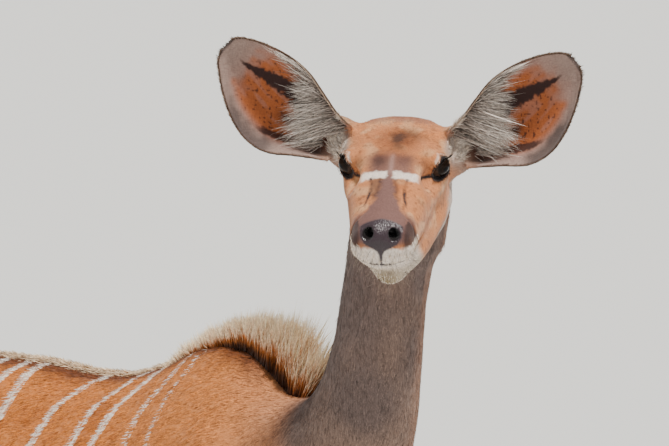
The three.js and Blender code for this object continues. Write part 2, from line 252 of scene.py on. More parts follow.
EAR_LENGTH = 250.0
EAR_ROOTS = {1: (-62.0, 67.0, -14.0), -1: (-62.0, -67.0, -9.0)}
EAR_ALONG = {1: (-50.0, 187.0, 151.0), -1: (-50.0, -180.0, 159.0)}
EAR_FACING = (0.85, 0.1, 0.5)
EAR_HALF_THICKNESS = 3.5
EAR_EDGE_THINNING = 0.12
EAR_CUP = [
    # along, upper edge, lower edge, depth of the cup
    (0.06, 19, -40, 36),
    (0.24, 22, -71, 43),
    (0.37, 30, -95, 44),
    (0.52, 38, -103, 39),
    (0.67, 36, -94, 32),
    (0.80, 27, -77, 24),
    (0.91, 14, -57, 15),
    (0.98, 0, -39, 8),
    (1.0, -8, -28, 5),
]
EAR_STALK = [
    # along, upper edge, lower edge, half thickness, how far forward
    (-0.30, 26, -32, 28, -14),
    (-0.14, 30, -38, 36, -14),
    (0.0, 27, -43, 33, -16),
    (0.10, 21, -46, 24, -26),
    (0.19, 15, -47, 14, -34),
    (0.25, 4, -36, 5, -34),
]
SIDES = {"left": 1, "right": -1}


def curve(x, rows):
    """A smooth curve through rows of numbers, whose first number is the place along it."""
    rows = np.array(rows, float)
    xs, ys = rows[:, 0], rows[:, 1:]
    slopes = np.gradient(ys, xs, axis=0)
    i = np.clip(np.searchsorted(xs, x) - 1, 0, len(xs) - 2)
    span = (xs[i + 1] - xs[i])[..., None]
    t = ((x - xs[i]) / span[..., 0])[..., None]
    start, end = ys[i], ys[i + 1]
    out, back = slopes[i] * span, slopes[i + 1] * span
    return (
        start * (2 * t ** 3 - 3 * t ** 2 + 1) + out * (t ** 3 - 2 * t ** 2 + t)
        + end * (3 * t ** 2 - 2 * t ** 3) + back * (t ** 3 - t ** 2)
    )


def ear_axes(side):
    along = unit(np.array(EAR_ALONG[side]))
    facing = np.array(EAR_FACING) * np.array([1.0, side, 1.0])
    facing = unit(facing - along * (facing @ along))
    across = np.cross(along, facing) * -side
    return np.array(EAR_ROOTS[side]), along, across, facing


def ear_point(side, along, width, forward):
    """A point from its place along the ear, 0 to 1, and mm towards its upper edge and forward."""
    root, axis, across, facing = ear_axes(side)
    return (
        root + (along * EAR_LENGTH)[..., None] * axis
        + width[..., None] * across + forward[..., None] * facing
    )


def cup_depth(depth, cosine):
    """How far forward the ear's middle is: behind its axis deep in the cup, and ahead of it at the edges."""
    return depth * (0.4 - cosine)


def ear_middle(side, along, round_the_cup):
    """A point in the middle of the ear's thickness, at a place along it and round it.

    Along is 0 at the root and 1 at the tip. Round the cup is -1 at the lower edge and 1 at the upper one.
    """
    upper, lower, depth = np.moveaxis(curve(along, EAR_CUP), -1, 0)
    angle = round_the_cup * math.pi / 2
    width = (upper + lower) / 2 + (upper - lower) / 2 * np.sin(angle)
    return ear_point(side, along, width, cup_depth(depth, np.cos(angle)))


def ring_faces(rows, columns):
    """Quads over rings of points, each ring closed on itself."""
    i, k = np.meshgrid(np.arange(rows - 1), np.arange(columns), indexing="ij")
    here, above = i * columns, (i + 1) * columns
    following = (k + 1) % columns
    return np.stack([here + k, here + following, above + following, above + k], -1).reshape(-1, 4)


def ear_cup(side, rows=90, columns=64):
    along = np.linspace(EAR_CUP[0][0], 1.0, rows)[:, None] * np.ones(columns)
    around = np.ones(rows)[:, None] * np.linspace(-1, 1, columns)
    middle = ear_middle(side, along, around)
    normal = unit(np.cross(np.gradient(middle, axis=0), np.gradient(middle, axis=1))) * side
    half = EAR_HALF_THICKNESS * (1 - EAR_EDGE_THINNING * around ** 4)
    front = middle + normal * half[..., None]
    behind = middle - normal * half[..., None]
    ring = np.concatenate([front, behind[:, ::-1]], 1)
    k = np.arange(columns - 1)
    ends = []
    for row in (0, rows - 1):
        first = row * 2 * columns
        last = first + 2 * columns - 1
        ends.append(np.stack([first + k, first + k + 1, last - 1 - k, last - k], -1))
    return from_head_points(ring.reshape(-1, 3)), np.concatenate([ring_faces(rows, 2 * columns), *ends])


def ear_stalk(side, rows=40, columns=40):
    along = np.linspace(EAR_STALK[0][0], EAR_STALK[-1][0], rows)
    upper, lower, thick, lie = curve(along, EAR_STALK).T[..., None]
    angle = np.linspace(0, 2 * math.pi, columns, endpoint=False)
    width = (upper + lower) / 2 + (upper - lower) / 2 * np.cos(angle)
    rings = ear_point(side, along[:, None], width, lie + thick * np.sin(angle))
    points = np.concatenate([rings.reshape(-1, 3), rings[[0, -1]].mean(1)])
    k = np.arange(columns)
    ends = []
    for row, cap in ((0, rows * columns), (rows - 1, rows * columns + 1)):
        edge = row * columns
        ends.append(np.stack([edge + k, edge + (k + 1) % columns, cap + 0 * k, cap + 0 * k], -1))
    return from_head_points(points), np.concatenate([ring_faces(rows, columns), *ends])


def from_head_points(flu):
    return from_head(flu[..., 0], flu[..., 1], flu[..., 2])


# The head

HEAD_FILLET, HEAD_BLUR = 8.0, 4.5
LID_RADIUS = 21.6
EYE_RISE = 3.0
EAR_MELT = 9.0
STALK_MELT = 15.0
OPENING = {"outer": -28.0, "inner": 106.0, "half_height": 14.2, "outer_rise": 2.0, "inner_drop": 4.5}
OPENING_MIDDLE = (OPENING["outer"] + OPENING["inner"]) / 2
OPENING_HALF = OPENING["inner"] - OPENING_MIDDLE
ORBIT = {"centre": (44.0, 82.0, 5.0), "radii": (33.0, 35.0, 22.0)}


def eye_distance(forward, out, up):
    """The distance from the middle of the eye, where out is to the side of the head."""
    return np.sqrt(forward ** 2 + (out - EYE_HALF_SPACING) ** 2 + (up - EYE_RISE) ** 2)


def lid_level(along):
    """How high the middle of the opening is above the eye's, at a place along it from -1 to 1."""
    return np.where(along > 0, -OPENING["inner_drop"] * along, -OPENING["outer_rise"] * along)


def eye_opening(forward, out, up):
    """The distance from the edge of the opening between the lids, below 0 in it, and the height above it."""
    angle = np.degrees(np.arctan2(forward, out - EYE_HALF_SPACING))
    along = (angle - OPENING_MIDDLE) / OPENING_HALF
    above = up - EYE_RISE - lid_level(along)
    half = OPENING["half_height"] * np.maximum(1 - along ** 2, 0) ** 0.5
    return np.abs(above) - half + 18 * np.maximum(np.abs(along) - 1, 0), above


def segment(points, start, end):
    """The distance from a segment and the place along it, 0 to 1."""
    start, end = np.array(start, float), np.array(end, float)
    axis = end - start
    t = np.clip((points - start) @ axis / (axis @ axis), 0, 1)
    return np.linalg.norm(points - start - t[..., None] * axis, axis=-1), t


NOSTRIL = {"outside": (203.0, 25.0, 5.0), "inside": (174.0, 15.0, -3.0), "wide": 9.0, "narrow": 6.0}


def nostril_distance(flu, side):
    """The distance from the nostril's middle line and the place along it, 0 to 1."""
    mirror = np.array([1, side, 1])
    return segment(flu, NOSTRIL["outside"] * mirror, NOSTRIL["inside"] * mirror)


def eye_and_nostril(values, flu, side):
    """The head's field with the orbit sunk, the lids laid on and the two openings cut, on one side."""
    forward, left, up = flu.T
    out = side * left
    orbit = (np.stack([forward, out, up], -1) - ORBIT["centre"]) / ORBIT["radii"]
    orbit = (np.linalg.norm(orbit, axis=-1) - 1) * min(ORBIT["radii"])
    values = smooth_max(values, -orbit, 9.0)
    from_eye = eye_distance(forward, out, up)
    values = smooth_min(values, from_eye - LID_RADIUS, 5.0)
    away, _ = eye_opening(forward, out, up)
    cut = np.maximum(np.maximum(away, EYE_RADIUS - 3 - from_eye), from_eye - 32)
    values = smooth_max(values, -cut, 1.4)
    reach, t = nostril_distance(flu, side)
    return smooth_max(values, NOSTRIL["wide"] + (NOSTRIL["narrow"] - NOSTRIL["wide"]) * t - reach, 3.0)


def head_field():
    shape = HEAD_HIGH - HEAD_LOW + 1
    soup = node_mesh(["head", "neck", "eye_left", "eye_right"])
    field = filled(*soup, FINE, HEAD_FILLET, HEAD_BLUR, HEAD_LOW, shape)
    field = blurred(field, HEAD_BLUR / FINE)
    for side in SIDES.values():
        stalk = sampled(level_set(*ear_stalk(side), FINE, 26.0), HEAD_LOW, shape)
        field = smooth_min(field, blurred(stalk, 1.2), STALK_MELT)
        cup = sampled(level_set(*ear_cup(side), FINE, 12.0), HEAD_LOW, shape)
        field = smooth_min(field, cup, EAR_MELT)
    near = np.argwhere(np.abs(field) < 30.0)
    flu = np.stack(to_head(np.stack([HEAD_AXES[k][near[:, k]] for k in range(3)], -1)), -1)
    values = field[tuple(near.T)]
    for side in SIDES.values():
        values = eye_and_nostril(values, flu, side)
    field[tuple(near.T)] = values
    return field


# The skin's mesh

COAT_DEPTH = 1.2
TAIL_CORE = [
    # point of the tail's core in the table's axes (y backwards), radius
    (0, 940, 1070, 20),
    (0, 990, 1058, 16),
    (0, 1020, 1028, 13),
    (0, 1036, 970, 11),
    (0, 1040, 890, 9.5),
    (0, 1042, 810, 8),
    (0, 1044, 740, 6),
    (0, 1043, 690, 4),
]


def tail_field(points):
    best = np.full(len(points), 1e3)
    for (*start, r0), (*end, r1) in zip(TAIL_CORE[:-1], TAIL_CORE[1:]):
        reach, t = segment(points, np.array(start) + TABLE_SHIFT, np.array(end) + TABLE_SHIFT)
        best = np.minimum(best, reach - (r0 + (r1 - r0) * t))
    return best


def hoof_cores(field, axes):
    """The claws' insides, which carry the skin down into the horn."""
    claws = node_mesh([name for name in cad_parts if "_claw_" in name])
    step = 4.0
    low = np.array([-60, -130, -2])
    shape = np.array([120, 350, 24])
    inside = sampled(level_set(*claws, step, 12.0), low, shape)
    old = [(low[k] + np.arange(shape[k])) * step for k in range(3)]
    count = int(np.searchsorted(axes[2], old[2][-1]))
    part = [axes[0], axes[1], axes[2][:count]]
    core = resampled(inside, old, part)
    field[:, :, :count] = np.minimum(field[:, :, :count], core + 3.5)


NECK_BLEND = (1208.0, 1250.0)
TAIL_ROOM = {"middle": 40.1, "half_width": 60.0, "from": 690.0, "low": 650.0, "high": 1110.0}
TAIL_MELT = 14.0
SKIN_BAND = 12.0


def skin_mesh():
    """The skin's surface, drawn from one field of the body, head, tail and the claws' insides."""
    axes = skin_axes()
    field = body_field(axes)
    y_count, z_count = (HEAD_HIGH - HEAD_LOW + 1)[1:]
    z_start = len(axes[2]) - z_count
    is_head = smoothstep(*NECK_BLEND, axes[2][z_start:]).astype(np.float32)
    block = field[:, :y_count, z_start:]
    block += (head_field() - block) * is_head
    field += COAT_DEPTH
    x_tail = [TAIL_ROOM["middle"] - TAIL_ROOM["half_width"], TAIL_ROOM["middle"] + TAIL_ROOM["half_width"]]
    xs = slice(*np.searchsorted(axes[0], x_tail))
    ys = slice(int(np.searchsorted(axes[1], TAIL_ROOM["from"])), None)
    zs = slice(*np.searchsorted(axes[2], [TAIL_ROOM["low"], TAIL_ROOM["high"]]))
    tail_axes = [axes[0][xs], axes[1][ys], axes[2][zs]]
    points = np.stack(np.meshgrid(*tail_axes, indexing="ij"), -1).reshape(-1, 3)
    near = tail_field(points).reshape([len(a) for a in tail_axes])
    field[xs, ys, zs] = smooth_min(field[xs, ys, zs], near, TAIL_MELT)
    hoof_cores(field, axes)
    np.clip(field, -SKIN_BAND, SKIN_BAND, out=field)
    grid = vdb.FloatGrid(SKIN_BAND)
    grid.copyFromArray(np.ascontiguousarray(field, np.float32))
    places, quads = grid.convertToQuads(isovalue=0.0)
    points = np.stack([np.interp(places[:, k], np.arange(len(axes[k])), axes[k]) for k in range(3)], -1)
    return largest_part(points, quads.astype(np.int64))


def largest_part(points, quads):
    """The biggest connected piece, facing outwards."""
    label = np.arange(len(points))
    while True:
        low = label[quads].min(1)
        before = label.copy()
        for k in range(4):
            np.minimum.at(label, quads[:, k], low)
        label = label[label]
        if (label == before).all():
            break
    kept = label == np.bincount(label).argmax()
    quads = quads[kept[quads[:, 0]]]
    points = points[kept]
    quads = (np.cumsum(kept) - 1)[quads]
    a, b, c, d = (points[quads[:, k]] for k in range(4))
    volume = (np.cross(b - a, c - a) * a).sum() + (np.cross(c - a, d - a) * a).sum()
    return points, quads if volume > 0 else quads[:, ::-1]


def neighbours(quads):
    a = quads.ravel()
    b = np.roll(quads, -1, 1).ravel()
    return np.concatenate([a, b]), np.concatenate([b, a])


def averaged(values, links, count):
    start, end = links
    weight = np.maximum(np.bincount(start, minlength=count), 1)
    if values.ndim == 1:
        return np.bincount(start, values[end], count) / weight
    return np.stack([np.bincount(start, values[end, k], count) / weight for k in range(values.shape[1])], -1)


def relaxed(points, quads, rounds, strength):
    """Taubin smoothing, which keeps the volume."""
    links = neighbours(quads)
    for _ in range(rounds):
        for pull in (0.5, -0.52):
            delta = averaged(points, links, len(points)) - points
            points = points + delta * (pull * strength)[:, None]
    return points


def vertex_normals(points, quads):
    a, b, c, d = (points[quads[:, k]] for k in range(4))
    face = np.cross(c - a, d - b)
    return unit(np.stack([
        np.bincount(quads.ravel(), np.repeat(face[:, k], 4), len(points)) for k in range(3)
    ], -1))


# Objects

def mesh_object(name, points, faces, smooth=True):
    """A mesh from points in mm and faces of one size."""
    mesh = bpy.data.meshes.new(name)
    sides = faces.shape[1]
    mesh.vertices.add(len(points))
    mesh.vertices.foreach_set("co", np.ascontiguousarray(points * MM, np.float32).ravel())
    mesh.loops.add(faces.size)
    mesh.loops.foreach_set("vertex_index", np.ascontiguousarray(faces, np.int32).ravel())
    mesh.polygons.add(len(faces))
    mesh.polygons.foreach_set("loop_start", np.arange(0, faces.size, sides, dtype=np.int32))
    mesh.polygons.foreach_set("use_smooth", np.full(len(faces), smooth))
    mesh.update(calc_edges=True)
    piece = bpy.data.objects.new(name, mesh)
    bpy.context.scene.collection.objects.link(piece)
    return piece


def attribute(piece, name, values):
    kind = {1: "FLOAT", 3: "FLOAT_VECTOR", 4: "FLOAT_COLOR"}[1 if values.ndim == 1 else values.shape[1]]
    layer = piece.data.attributes.new(name, kind, "POINT")
    key = {"FLOAT": "value", "FLOAT_VECTOR": "vector", "FLOAT_COLOR": "color"}[kind]
    layer.data.foreach_set(key, np.ascontiguousarray(values, np.float32).ravel())


# Places on the animal

def to_table(points):
    """Points as forward of the withers, left of the middle plane and up from the floor."""
    return -(points[:, 1] - TABLE_SHIFT[1]), points[:, 0] - TABLE_SHIFT[0], points[:, 2]


def noise(points, size, seed=0):
    """Smooth noise from -1 to 1, with lumps about this many mm across."""
    lattice = np.random.default_rng(seed).uniform(-1, 1, (32, 32, 32))
    place = points / size
    cell = np.floor(place).astype(int)
    part = place - cell
    part = part * part * (3 - 2 * part)
    total = np.zeros(len(points))
    for corner in np.ndindex(2, 2, 2):
        index = (cell + corner) % 32
        total += np.prod(np.where(corner, part, 1 - part), 1) * lattice[tuple(index.T)]
    return total


def hill(distance, reach):
    """1 at no distance, falling away to about 0 at twice the reach."""
    return np.exp(-(distance / reach) ** 2)


def spot(flu, centre, reach):
    """1 at the centre of a soft ellipsoid, falling away along each axis by its own reach."""
    away = (flu - np.array(centre, float)) / np.array(reach, float)
    return np.exp(-(away ** 2).sum(-1))


def along_line(flu, line):
    """The distance from a line through points on the head, and the place along it, 0 to 1."""
    best = np.full(len(flu), 1e3)
    place = np.zeros(len(flu))
    for k in range(len(line) - 1):
        reach, t = segment(flu, line[k], line[k + 1])
        nearer = reach < best
        best = np.where(nearer, reach, best)
        place = np.where(nearer, (k + t) / (len(line) - 1), place)
    return best, place


def ear_place(flu, side):
    """Places on the ear: the part along it and across it, mm in front of its middle, and whether it is ear.

    The part across is -1 at the lower edge and 1 at the upper one.
    """
    root, axis, across, facing = ear_axes(side)
    away = flu - root
    along = away @ axis / EAR_LENGTH
    upper, lower, depth = curve(np.clip(along, EAR_CUP[0][0], 1.0), EAR_CUP).T
    width = ((away @ across) - (upper + lower) / 2) / ((upper - lower) / 2)
    inside = np.clip(width, -1, 1)
    front = away @ facing - cup_depth(depth, np.sqrt(1 - inside ** 2))
    belongs = smoothstep(0.04, 0.12, along) * (np.abs(width) < 1.5) * (side * flu[:, 1] > 60)
    return along, width, front, belongs


# Sculpting the skin: millimetres outwards along its normal

FOLDS = [
    # depth, half width, points on the left of the face
    (2.4, 2.4, [(60, 44, 8), (84, 43, -2), (112, 42, -8), (136, 44, -12), (156, 46, -18)]),
    (2.0, 2.2, [(66, 28, 20), (84, 26, 18), (106, 27, 12), (126, 31, 7)]),
    (2.4, 2.6, [(140, 20, 17), (147, 33, 11), (152, 43, 0), (160, 48, -14), (168, 49, -26)]),
    (1.2, 2.6, [(56, 56, -12), (78, 54, -20), (104, 53, -26)]),
    (1.8, 2.0, [(98, 50, -32), (112, 52, -40), (124, 50, -36)]),
]
EAR_FOLDS = [(-96, -40), (-84, -30), (-72, -20), (-60, -12)]
JAW_SHIFT = 8.0
MOUTH = [(197, 0, -47), (196, 14, -46), (190, 30, -43), (178, 43, -39), (152, 50, -40), (118, 51, -46)]
TEAR_LINE = [(20, 57, -4), (30, 51, 0), (40, 46, 4)]
FACE_MOUNDS = [
    # height in mm, middle on the left of the face, reach
    (3.6, (184, 27, -31), (16, 20, 9)),
    (1.6, (183, 18, -57), (16, 20, 7)),
    (-6.0, (172, 34, -84), (28, 18, 18)),
    (2.0, (186, 33, 4), (9, 6, 9)),
    (1.2, (190, 12, 8), (8, 6, 6)),
    (2.2, (4, 58, 30), (20, 14, 10)),
    (-1.6, (88, 58, -16), (30, 12, 14)),
    (2.5, (30, 68, -32), (34, 16, 12)),
]


def face_places(flu):
    """Forward, left and up with the lower jaw moved to the middle, and the same mirrored to the left side."""
    forward, left, up = flu.T
    left = left - JAW_SHIFT * smoothstep(-44, -70, up)
    return forward, left, up, np.stack([forward, np.abs(left), up], -1)


def fades(t, start, end):
    """1 along a line, and 0 at its two ends, which fade over these parts of it."""
    return smoothstep(0, start, t) * smoothstep(0, end, 1 - t)


def lid_sculpt(forward, side, up):
    """A rim round the eye's opening, a crease over the upper lid and two under the lower one."""
    away, above = eye_opening(forward, side, up)
    lid = smoothstep(36, 28, eye_distance(forward, side, up)) * (side > 25)
    upper = smoothstep(-2, 4, above)
    rim = 0.9 * hill(away - 1.5, 1.8) - 1.5 * upper * hill(away - 8.5, 1.8)
    return lid * (rim - (1 - upper) * (hill(away - 7.5, 1.8) + 0.7 * hill(away - 13, 2.0)))


def head_sculpt(flu):
    forward, left, up, mirrored = face_places(flu)
    out = lid_sculpt(forward, np.abs(left), up)
    for depth, width, line in FOLDS:
        reach, t = along_line(mirrored, line)
        out -= depth * hill(reach, width) * smoothstep(0, 0.15, t + 0.05) * smoothstep(0, 0.15, 1.05 - t)
    for depth, width, line in ((1.6, 2.4, TEAR_LINE), (3.4, 3.2, MOUTH)):
        out -= depth * hill(along_line(mirrored, line)[0], width)
    for height, middle, reach in FACE_MOUNDS:
        out += height * spot(mirrored, middle, reach)
    # The groove from the nose to the lip, the ridge of the nose and the dip in the forehead
    groove = hill(left, 2.2) * smoothstep(180, 192, forward) * smoothstep(4, -8, up)
    out -= 1.6 * groove * smoothstep(-48, -40, up)
    out += 1.6 * hill(left, 16) * smoothstep(170, 120, forward) * smoothstep(40, 90, forward) * (up > -5)
    out -= 1.2 * hill(left, 10) * spot(flu, (0, 0, 30), (30, 60, 14))
    for start, end in EAR_FOLDS:
        line = [(start + 10, 62, 30), (start + 14, 78, 14), (end, 84, -14), (end + 6, 82, -34)]
        reach, t = along_line(mirrored, line)
        out += fades(t, 0.2, 0.25) * (1.2 * hill(reach - 5, 2.4) - 2.6 * hill(reach, 2.4))
    for side in SIDES.values():
        along, width, front, belongs = ear_place(flu, side)
        ridge = np.sin(width * 9.0 + along * 2.0) * smoothstep(0.2, 0.4, along) * smoothstep(1.0, 0.75, along)
        out += belongs * (front > 0) * 0.5 * ridge * smoothstep(0.9, 0.6, np.abs(width))
    return out


BODY_MOUNDS = [
    # height in mm, forward, up, reach forward, reach up, lean
    (5.0, 60, 900, 55, 70, 0.0),
    (-4.0, -75, 960, 26, 130, 0.35),
    (3.5, -10, 1010, 40, 110, 0.45),
    (-3.0, 45, 1010, 18, 90, 0.45),
    (-6.0, -640, 1010, 60, 60, 0.0),
    (-3.0, -740, 900, 30, 90, -0.3),
    (5.0, -722, 1060, 34, 26, 0.0),
    (4.5, -820, 930, 70, 80, 0.0),
    (-4.0, -905, 860, 34, 80, -0.2),
    (-3.0, -690, 780, 50, 34, 0.6),
]
RIB_SPACING = 46


def body_sculpt(points):
    forward, left, up = to_table(points)
    flank = smoothstep(60, 110, np.abs(left))
    out = np.zeros(len(points))
    for height, f, u, reach_f, reach_u, lean in BODY_MOUNDS:
        away = forward - f - (up - u) * lean
        out += height * np.exp(-(away / reach_f) ** 2 - ((up - u) / reach_u) ** 2) * flank
    ribs = np.sin((forward + 0.35 * (up - 900)) * 2 * math.pi / RIB_SPACING)
    chest = smoothstep(-560, -480, forward) * smoothstep(-120, -200, forward)
    out += 0.9 * ribs * flank * chest * smoothstep(740, 800, up) * smoothstep(1060, 980, up)
    # The spine, the trunk's unevenness, and the cannon bones with the tendons behind them
    out += 2.5 * hill(left, 10) * smoothstep(1030, 1060, up) * smoothstep(-60, -160, forward)
    out += 2.0 * noise(points, 160, 3) * smoothstep(640, 760, up) * (forward < 150)
    cannon = smoothstep(390, 340, up) * smoothstep(140, 180, up)
    out -= 1.6 * cannon * hill(np.mod(np.abs(forward + 3), 900) - 4, 4) * (forward > -300)
    out += 0.8 * noise(points, 34, 4) * smoothstep(700, 560, up)
    return out


# Colours. Each name holds the sRGB colour of a patch of hair or bare skin in plain light.

def srgb(red, green, blue):
    value = np.array([red, green, blue]) / 255
    return np.where(value <= 0.04045, value / 12.92, ((value + 0.055) / 1.055) ** 2.4)


TAN = srgb(196, 128, 78)
FACE_TAN = srgb(190, 128, 88)
ORANGE = srgb(196, 122, 66)
RUST = srgb(140, 72, 32)
MAUVE = srgb(112, 82, 76)
DARK_MAUVE = srgb(52, 32, 29)
PALE_MAUVE = srgb(160, 132, 124)
CROWN = srgb(72, 40, 20)
BLACK_SKIN = srgb(30, 23, 24)
PAD = srgb(52, 41, 46)
WHITE = srgb(236, 226, 216)
CREAM = srgb(222, 186, 146)
GREY = srgb(134, 113, 102)
THROAT = srgb(110, 95, 90)
JAW = srgb(196, 180, 170)
STAIN = srgb(112, 92, 38)
SHOULDER = srgb(184, 132, 100)
SPINE = srgb(92, 48, 24)
BELLY = srgb(190, 160, 134)
LEG = srgb(184, 124, 78)
PASTERN = srgb(120, 88, 66)
EAR_PINK = srgb(162, 118, 104)
EAR_GREY = srgb(150, 130, 122)
EAR_ORANGE = srgb(160, 92, 56)
EAR_DARK = srgb(44, 20, 16)
EAR_BACK = srgb(172, 136, 108)
EAR_LOW = srgb(72, 62, 60)


# The studio light washes colours out a little, so the coat's are made this much deeper.
COLOUR_DEPTH = 1.12


def paint(colour, mask, new):
    return colour + (new - colour) * np.clip(mask, 0, 1)[:, None]


def painted(colour, layers):
    """The colour under layers of (mask, new colour), the first of them lowest."""
    for mask, new in layers:
        colour = paint(colour, mask, new)
    return colour


NOSE_PAD = [
    # up from the middle of the eyes, half width of the wet pad
    (-60, 0), (-46, 1.5), (-29, 3), (-22, 6), (-17, 14), (-12, 25), (-4, 32), (6, 33), (14, 30), (30, 26),
]
BRIDGE = [
    # forward, half width of the grey strip on the bridge of the nose
    (40, 7), (62, 9), (85, 11), (110, 14), (135, 24), (160, 36), (190, 44),
]


def pad_mask(flu):
    forward, left, up = flu.T
    edge = np.interp(up, *np.array(NOSE_PAD, float).T) - np.abs(left)
    return smoothstep(-1.5, 1.5, edge) * smoothstep(169, 174, forward + 0.25 * (30 - np.abs(left)))


def head_coat(forward, side, up, points, rough, fine):
    """Tan hair, with the grey behind the eye and the pale jaw and throat."""
    cheek_edge = 84 + 0.30 * forward + 4 * rough
    jaw = smoothstep(-6, 10, -up - cheek_edge + 14) * smoothstep(150, 110, forward)
    behind = smoothstep(-14, -40, forward - 0.5 * (up + 10)) * smoothstep(62, 74, side)
    return painted(np.repeat(FACE_TAN[None], len(points), 0), [
        (0.5 * smoothstep(-0.2, 0.8, noise(points, 30, 7)), ORANGE),
        (0.4 * smoothstep(0.1, 0.7, noise(points, 17, 13)), CREAM),
        (0.55 * smoothstep(0.25, 0.75, fine + 0.3 * rough) * (forward > -120), SPINE),
        (jaw, JAW),
        (0.75 * jaw * hill(-up - cheek_edge + 18, 5) * smoothstep(-20, 30, forward), MAUVE),
        (0.85 * behind * smoothstep(16, 6, up), GREY),
        (smoothstep(-92, -112, up) * smoothstep(140, 90, forward), THROAT),
    ])


def bridge_and_crown(colour, flu, left, rough, fine):
    """The grey bridge, the patches above it, the dark crown and the white bars between the eyes."""
    forward, _, up = flu.T
    side = np.abs(left)
    strip = np.interp(forward, *np.array(BRIDGE, float).T) + 2.5 * rough - side
    on_top = smoothstep(-22, -6, up) * smoothstep(44, 60, forward)
    band = smoothstep(-2, 20, forward + 6 * rough - 0.2 * side) * smoothstep(60, 52, forward) * (up > 0)
    blaze = hill(left - 1, 4) * smoothstep(4, 20, forward) * smoothstep(66, 50, forward) * (up > 0)
    crown = spot(flu, (-22, 5, 31), (25, 22, 30)) + 0.6 * spot(flu, (-38, 22, 31), (16, 18, 30))
    bars = smoothstep(10.5, 5.0, np.abs(forward - 59 + 1.6 * rough + 2.6 * fine)) \
        * smoothstep(2.0, 6.0, side + 2.0 * fine) * smoothstep(47, 40, side) * smoothstep(-2, 6, up)
    return painted(colour, [
        (smoothstep(-4, 4, strip + 2 * fine) * on_top, MAUVE),
        (0.7 * hill(strip + 2, 4.0) * on_top * smoothstep(130, 100, forward), DARK_MAUVE),
        (0.7 * spot(flu, (80, -20, 20), (26, 9, 20)), DARK_MAUVE),
        (0.45 * spot(flu, (74, 20, 20), (22, 9, 20)), RUST),
        (0.85 * band * smoothstep(48, 22, side + 6 * rough), MAUVE),
        (0.9 * spot(flu, (28, -18, 30), (19, 15, 24)), DARK_MAUVE),
        (0.55 * spot(flu, (24, 20, 30), (14, 16, 24)), DARK_MAUVE),
        (0.6 * blaze, PALE_MAUVE),
        (0.7 * spot(flu, (-22, 5, 31), (36, 36, 30)), RUST),
        (0.95 * crown * (0.85 + 0.5 * rough), CROWN),
        (0.55 * smoothstep(-70, -92, forward) * smoothstep(60, 40, side) * (up > -20), MAUVE),
        (0.92 * bars, WHITE),
    ])


def round_the_eyes(colour, mirrored, away, above, on_lid, fine):
    """Pale hair round the eyes and before the ears, the black rims, and the dark line to the nose."""
    forward, side, up = mirrored.T
    near_eye = (eye_distance(forward, side, up) < 52) * (side > 25)
    before_ear = spot(mirrored, (-44, 92, 26), (26, 12, 22)) + spot(mirrored, (-50, 92, 2), (26, 12, 22))
    over_lid = on_lid * hill(away - 9.5, 2.6) * smoothstep(2, 8, above) * (forward < 16)
    rim = smoothstep(3.4, 1.6, away + 0.8 * fine - 3.0 * smoothstep(0, 6, above))
    tear, _ = along_line(mirrored, [(18, 58, -5), (30, 51, 0), (42, 45, 5)])
    return painted(colour, [
        (0.8 * near_eye * spot(mirrored, (-12, 78, 2), (14, 14, 13)), CREAM),
        (0.7 * near_eye * spot(mirrored, (12, 70, -27), (24, 14, 6)), CREAM),
        (0.85 * before_ear, WHITE),
        (0.9 * over_lid, WHITE),
        (0.6 * near_eye * spot(mirrored, (24, 50, 22), (16, 10, 6)), SPINE),
        (on_lid * rim, BLACK_SKIN),
        (smoothstep(4.5, 2.2, tear + fine), BLACK_SKIN),
    ])


def muzzle(colour, flu, mirrored, pad, fine):
    """Painted shade down the sides, white lips and a stained chin, the wet pad, and black painted shade in
    the mouth's line and nostrils.
    """
    forward, side, up = mirrored.T
    above_pad = smoothstep(132, 150, forward) * smoothstep(-14, -4, up)
    # Painted shade on the muzzle's sides, beside the pad
    side_shade = smoothstep(146, 160, forward) * smoothstep(30, 38, side) * smoothstep(-34, -24, up) * (up < 4)
    lip_line = -17 - 0.16 * (side - 12) + 2.0 * fine
    chin = smoothstep(-44, -49, up) * smoothstep(126, 150, forward - 0.35 * (up + 60))
    mouth, t = along_line(mirrored, MOUTH)
    nostrils = [smoothstep(10.5, 8.0, nostril_distance(flu, one)[0]) for one in SIDES.values()]
    return painted(colour, [
        (0.9 * above_pad, MAUVE),
        (0.9 * side_shade, DARK_MAUVE),
        (smoothstep(4, -3, up - lip_line) * smoothstep(150, 164, forward - 0.2 * (side - 30)), WHITE),
        (chin, WHITE),
        (0.95 * spot(flu, (168, 2, -94), (34, 26, 24)), STAIN),
        (0.5 * chin * smoothstep(-55, -72, up), STAIN),
        # Painted shade: black along the line where the lips meet
        (smoothstep(4.2, 2.0, mouth + fine) * smoothstep(1.0, 0.8, t), BLACK_SKIN),
        (pad, PAD),
        # Painted shade: darker than black skin inside the nostrils
        *((nostril, BLACK_SKIN * 0.5) for nostril in nostrils),
    ])


def head_tint(flu, points):
    """The head's colour, and how wet it is."""
    forward, left, up, mirrored = face_places(flu)
    side = np.abs(left)
    rough, fine = noise(points, 9, 5), noise(points, 4, 6)
    away, above = eye_opening(forward, side, up)
    on_lid = smoothstep(33, 26, eye_distance(forward, side, up)) * (side > 25)
    pad = pad_mask(flu)
    colour = head_coat(forward, side, up, points, rough, fine)
    colour = bridge_and_crown(colour, flu, left, rough, fine)
    colour = round_the_eyes(colour, mirrored, away, above, on_lid, fine)
    # Painted shade: each fold of the face is darkened along its line, more where it is deeper
    for depth, _, line in FOLDS:
        reach, _ = along_line(mirrored, line)
        colour = paint(colour, 0.62 * depth * smoothstep(3.6, 0.8, reach + 0.8 * fine), DARK_MAUVE)
    colour = paint(colour, 0.85 * spot(flu, (104, 47, -40), (7, 8, 7)) * smoothstep(-0.6, 0.3, rough), SPINE)
    colour = muzzle(colour, flu, mirrored, pad, fine)
    return colour, np.maximum(pad, on_lid * smoothstep(1.6, 0.2, away))


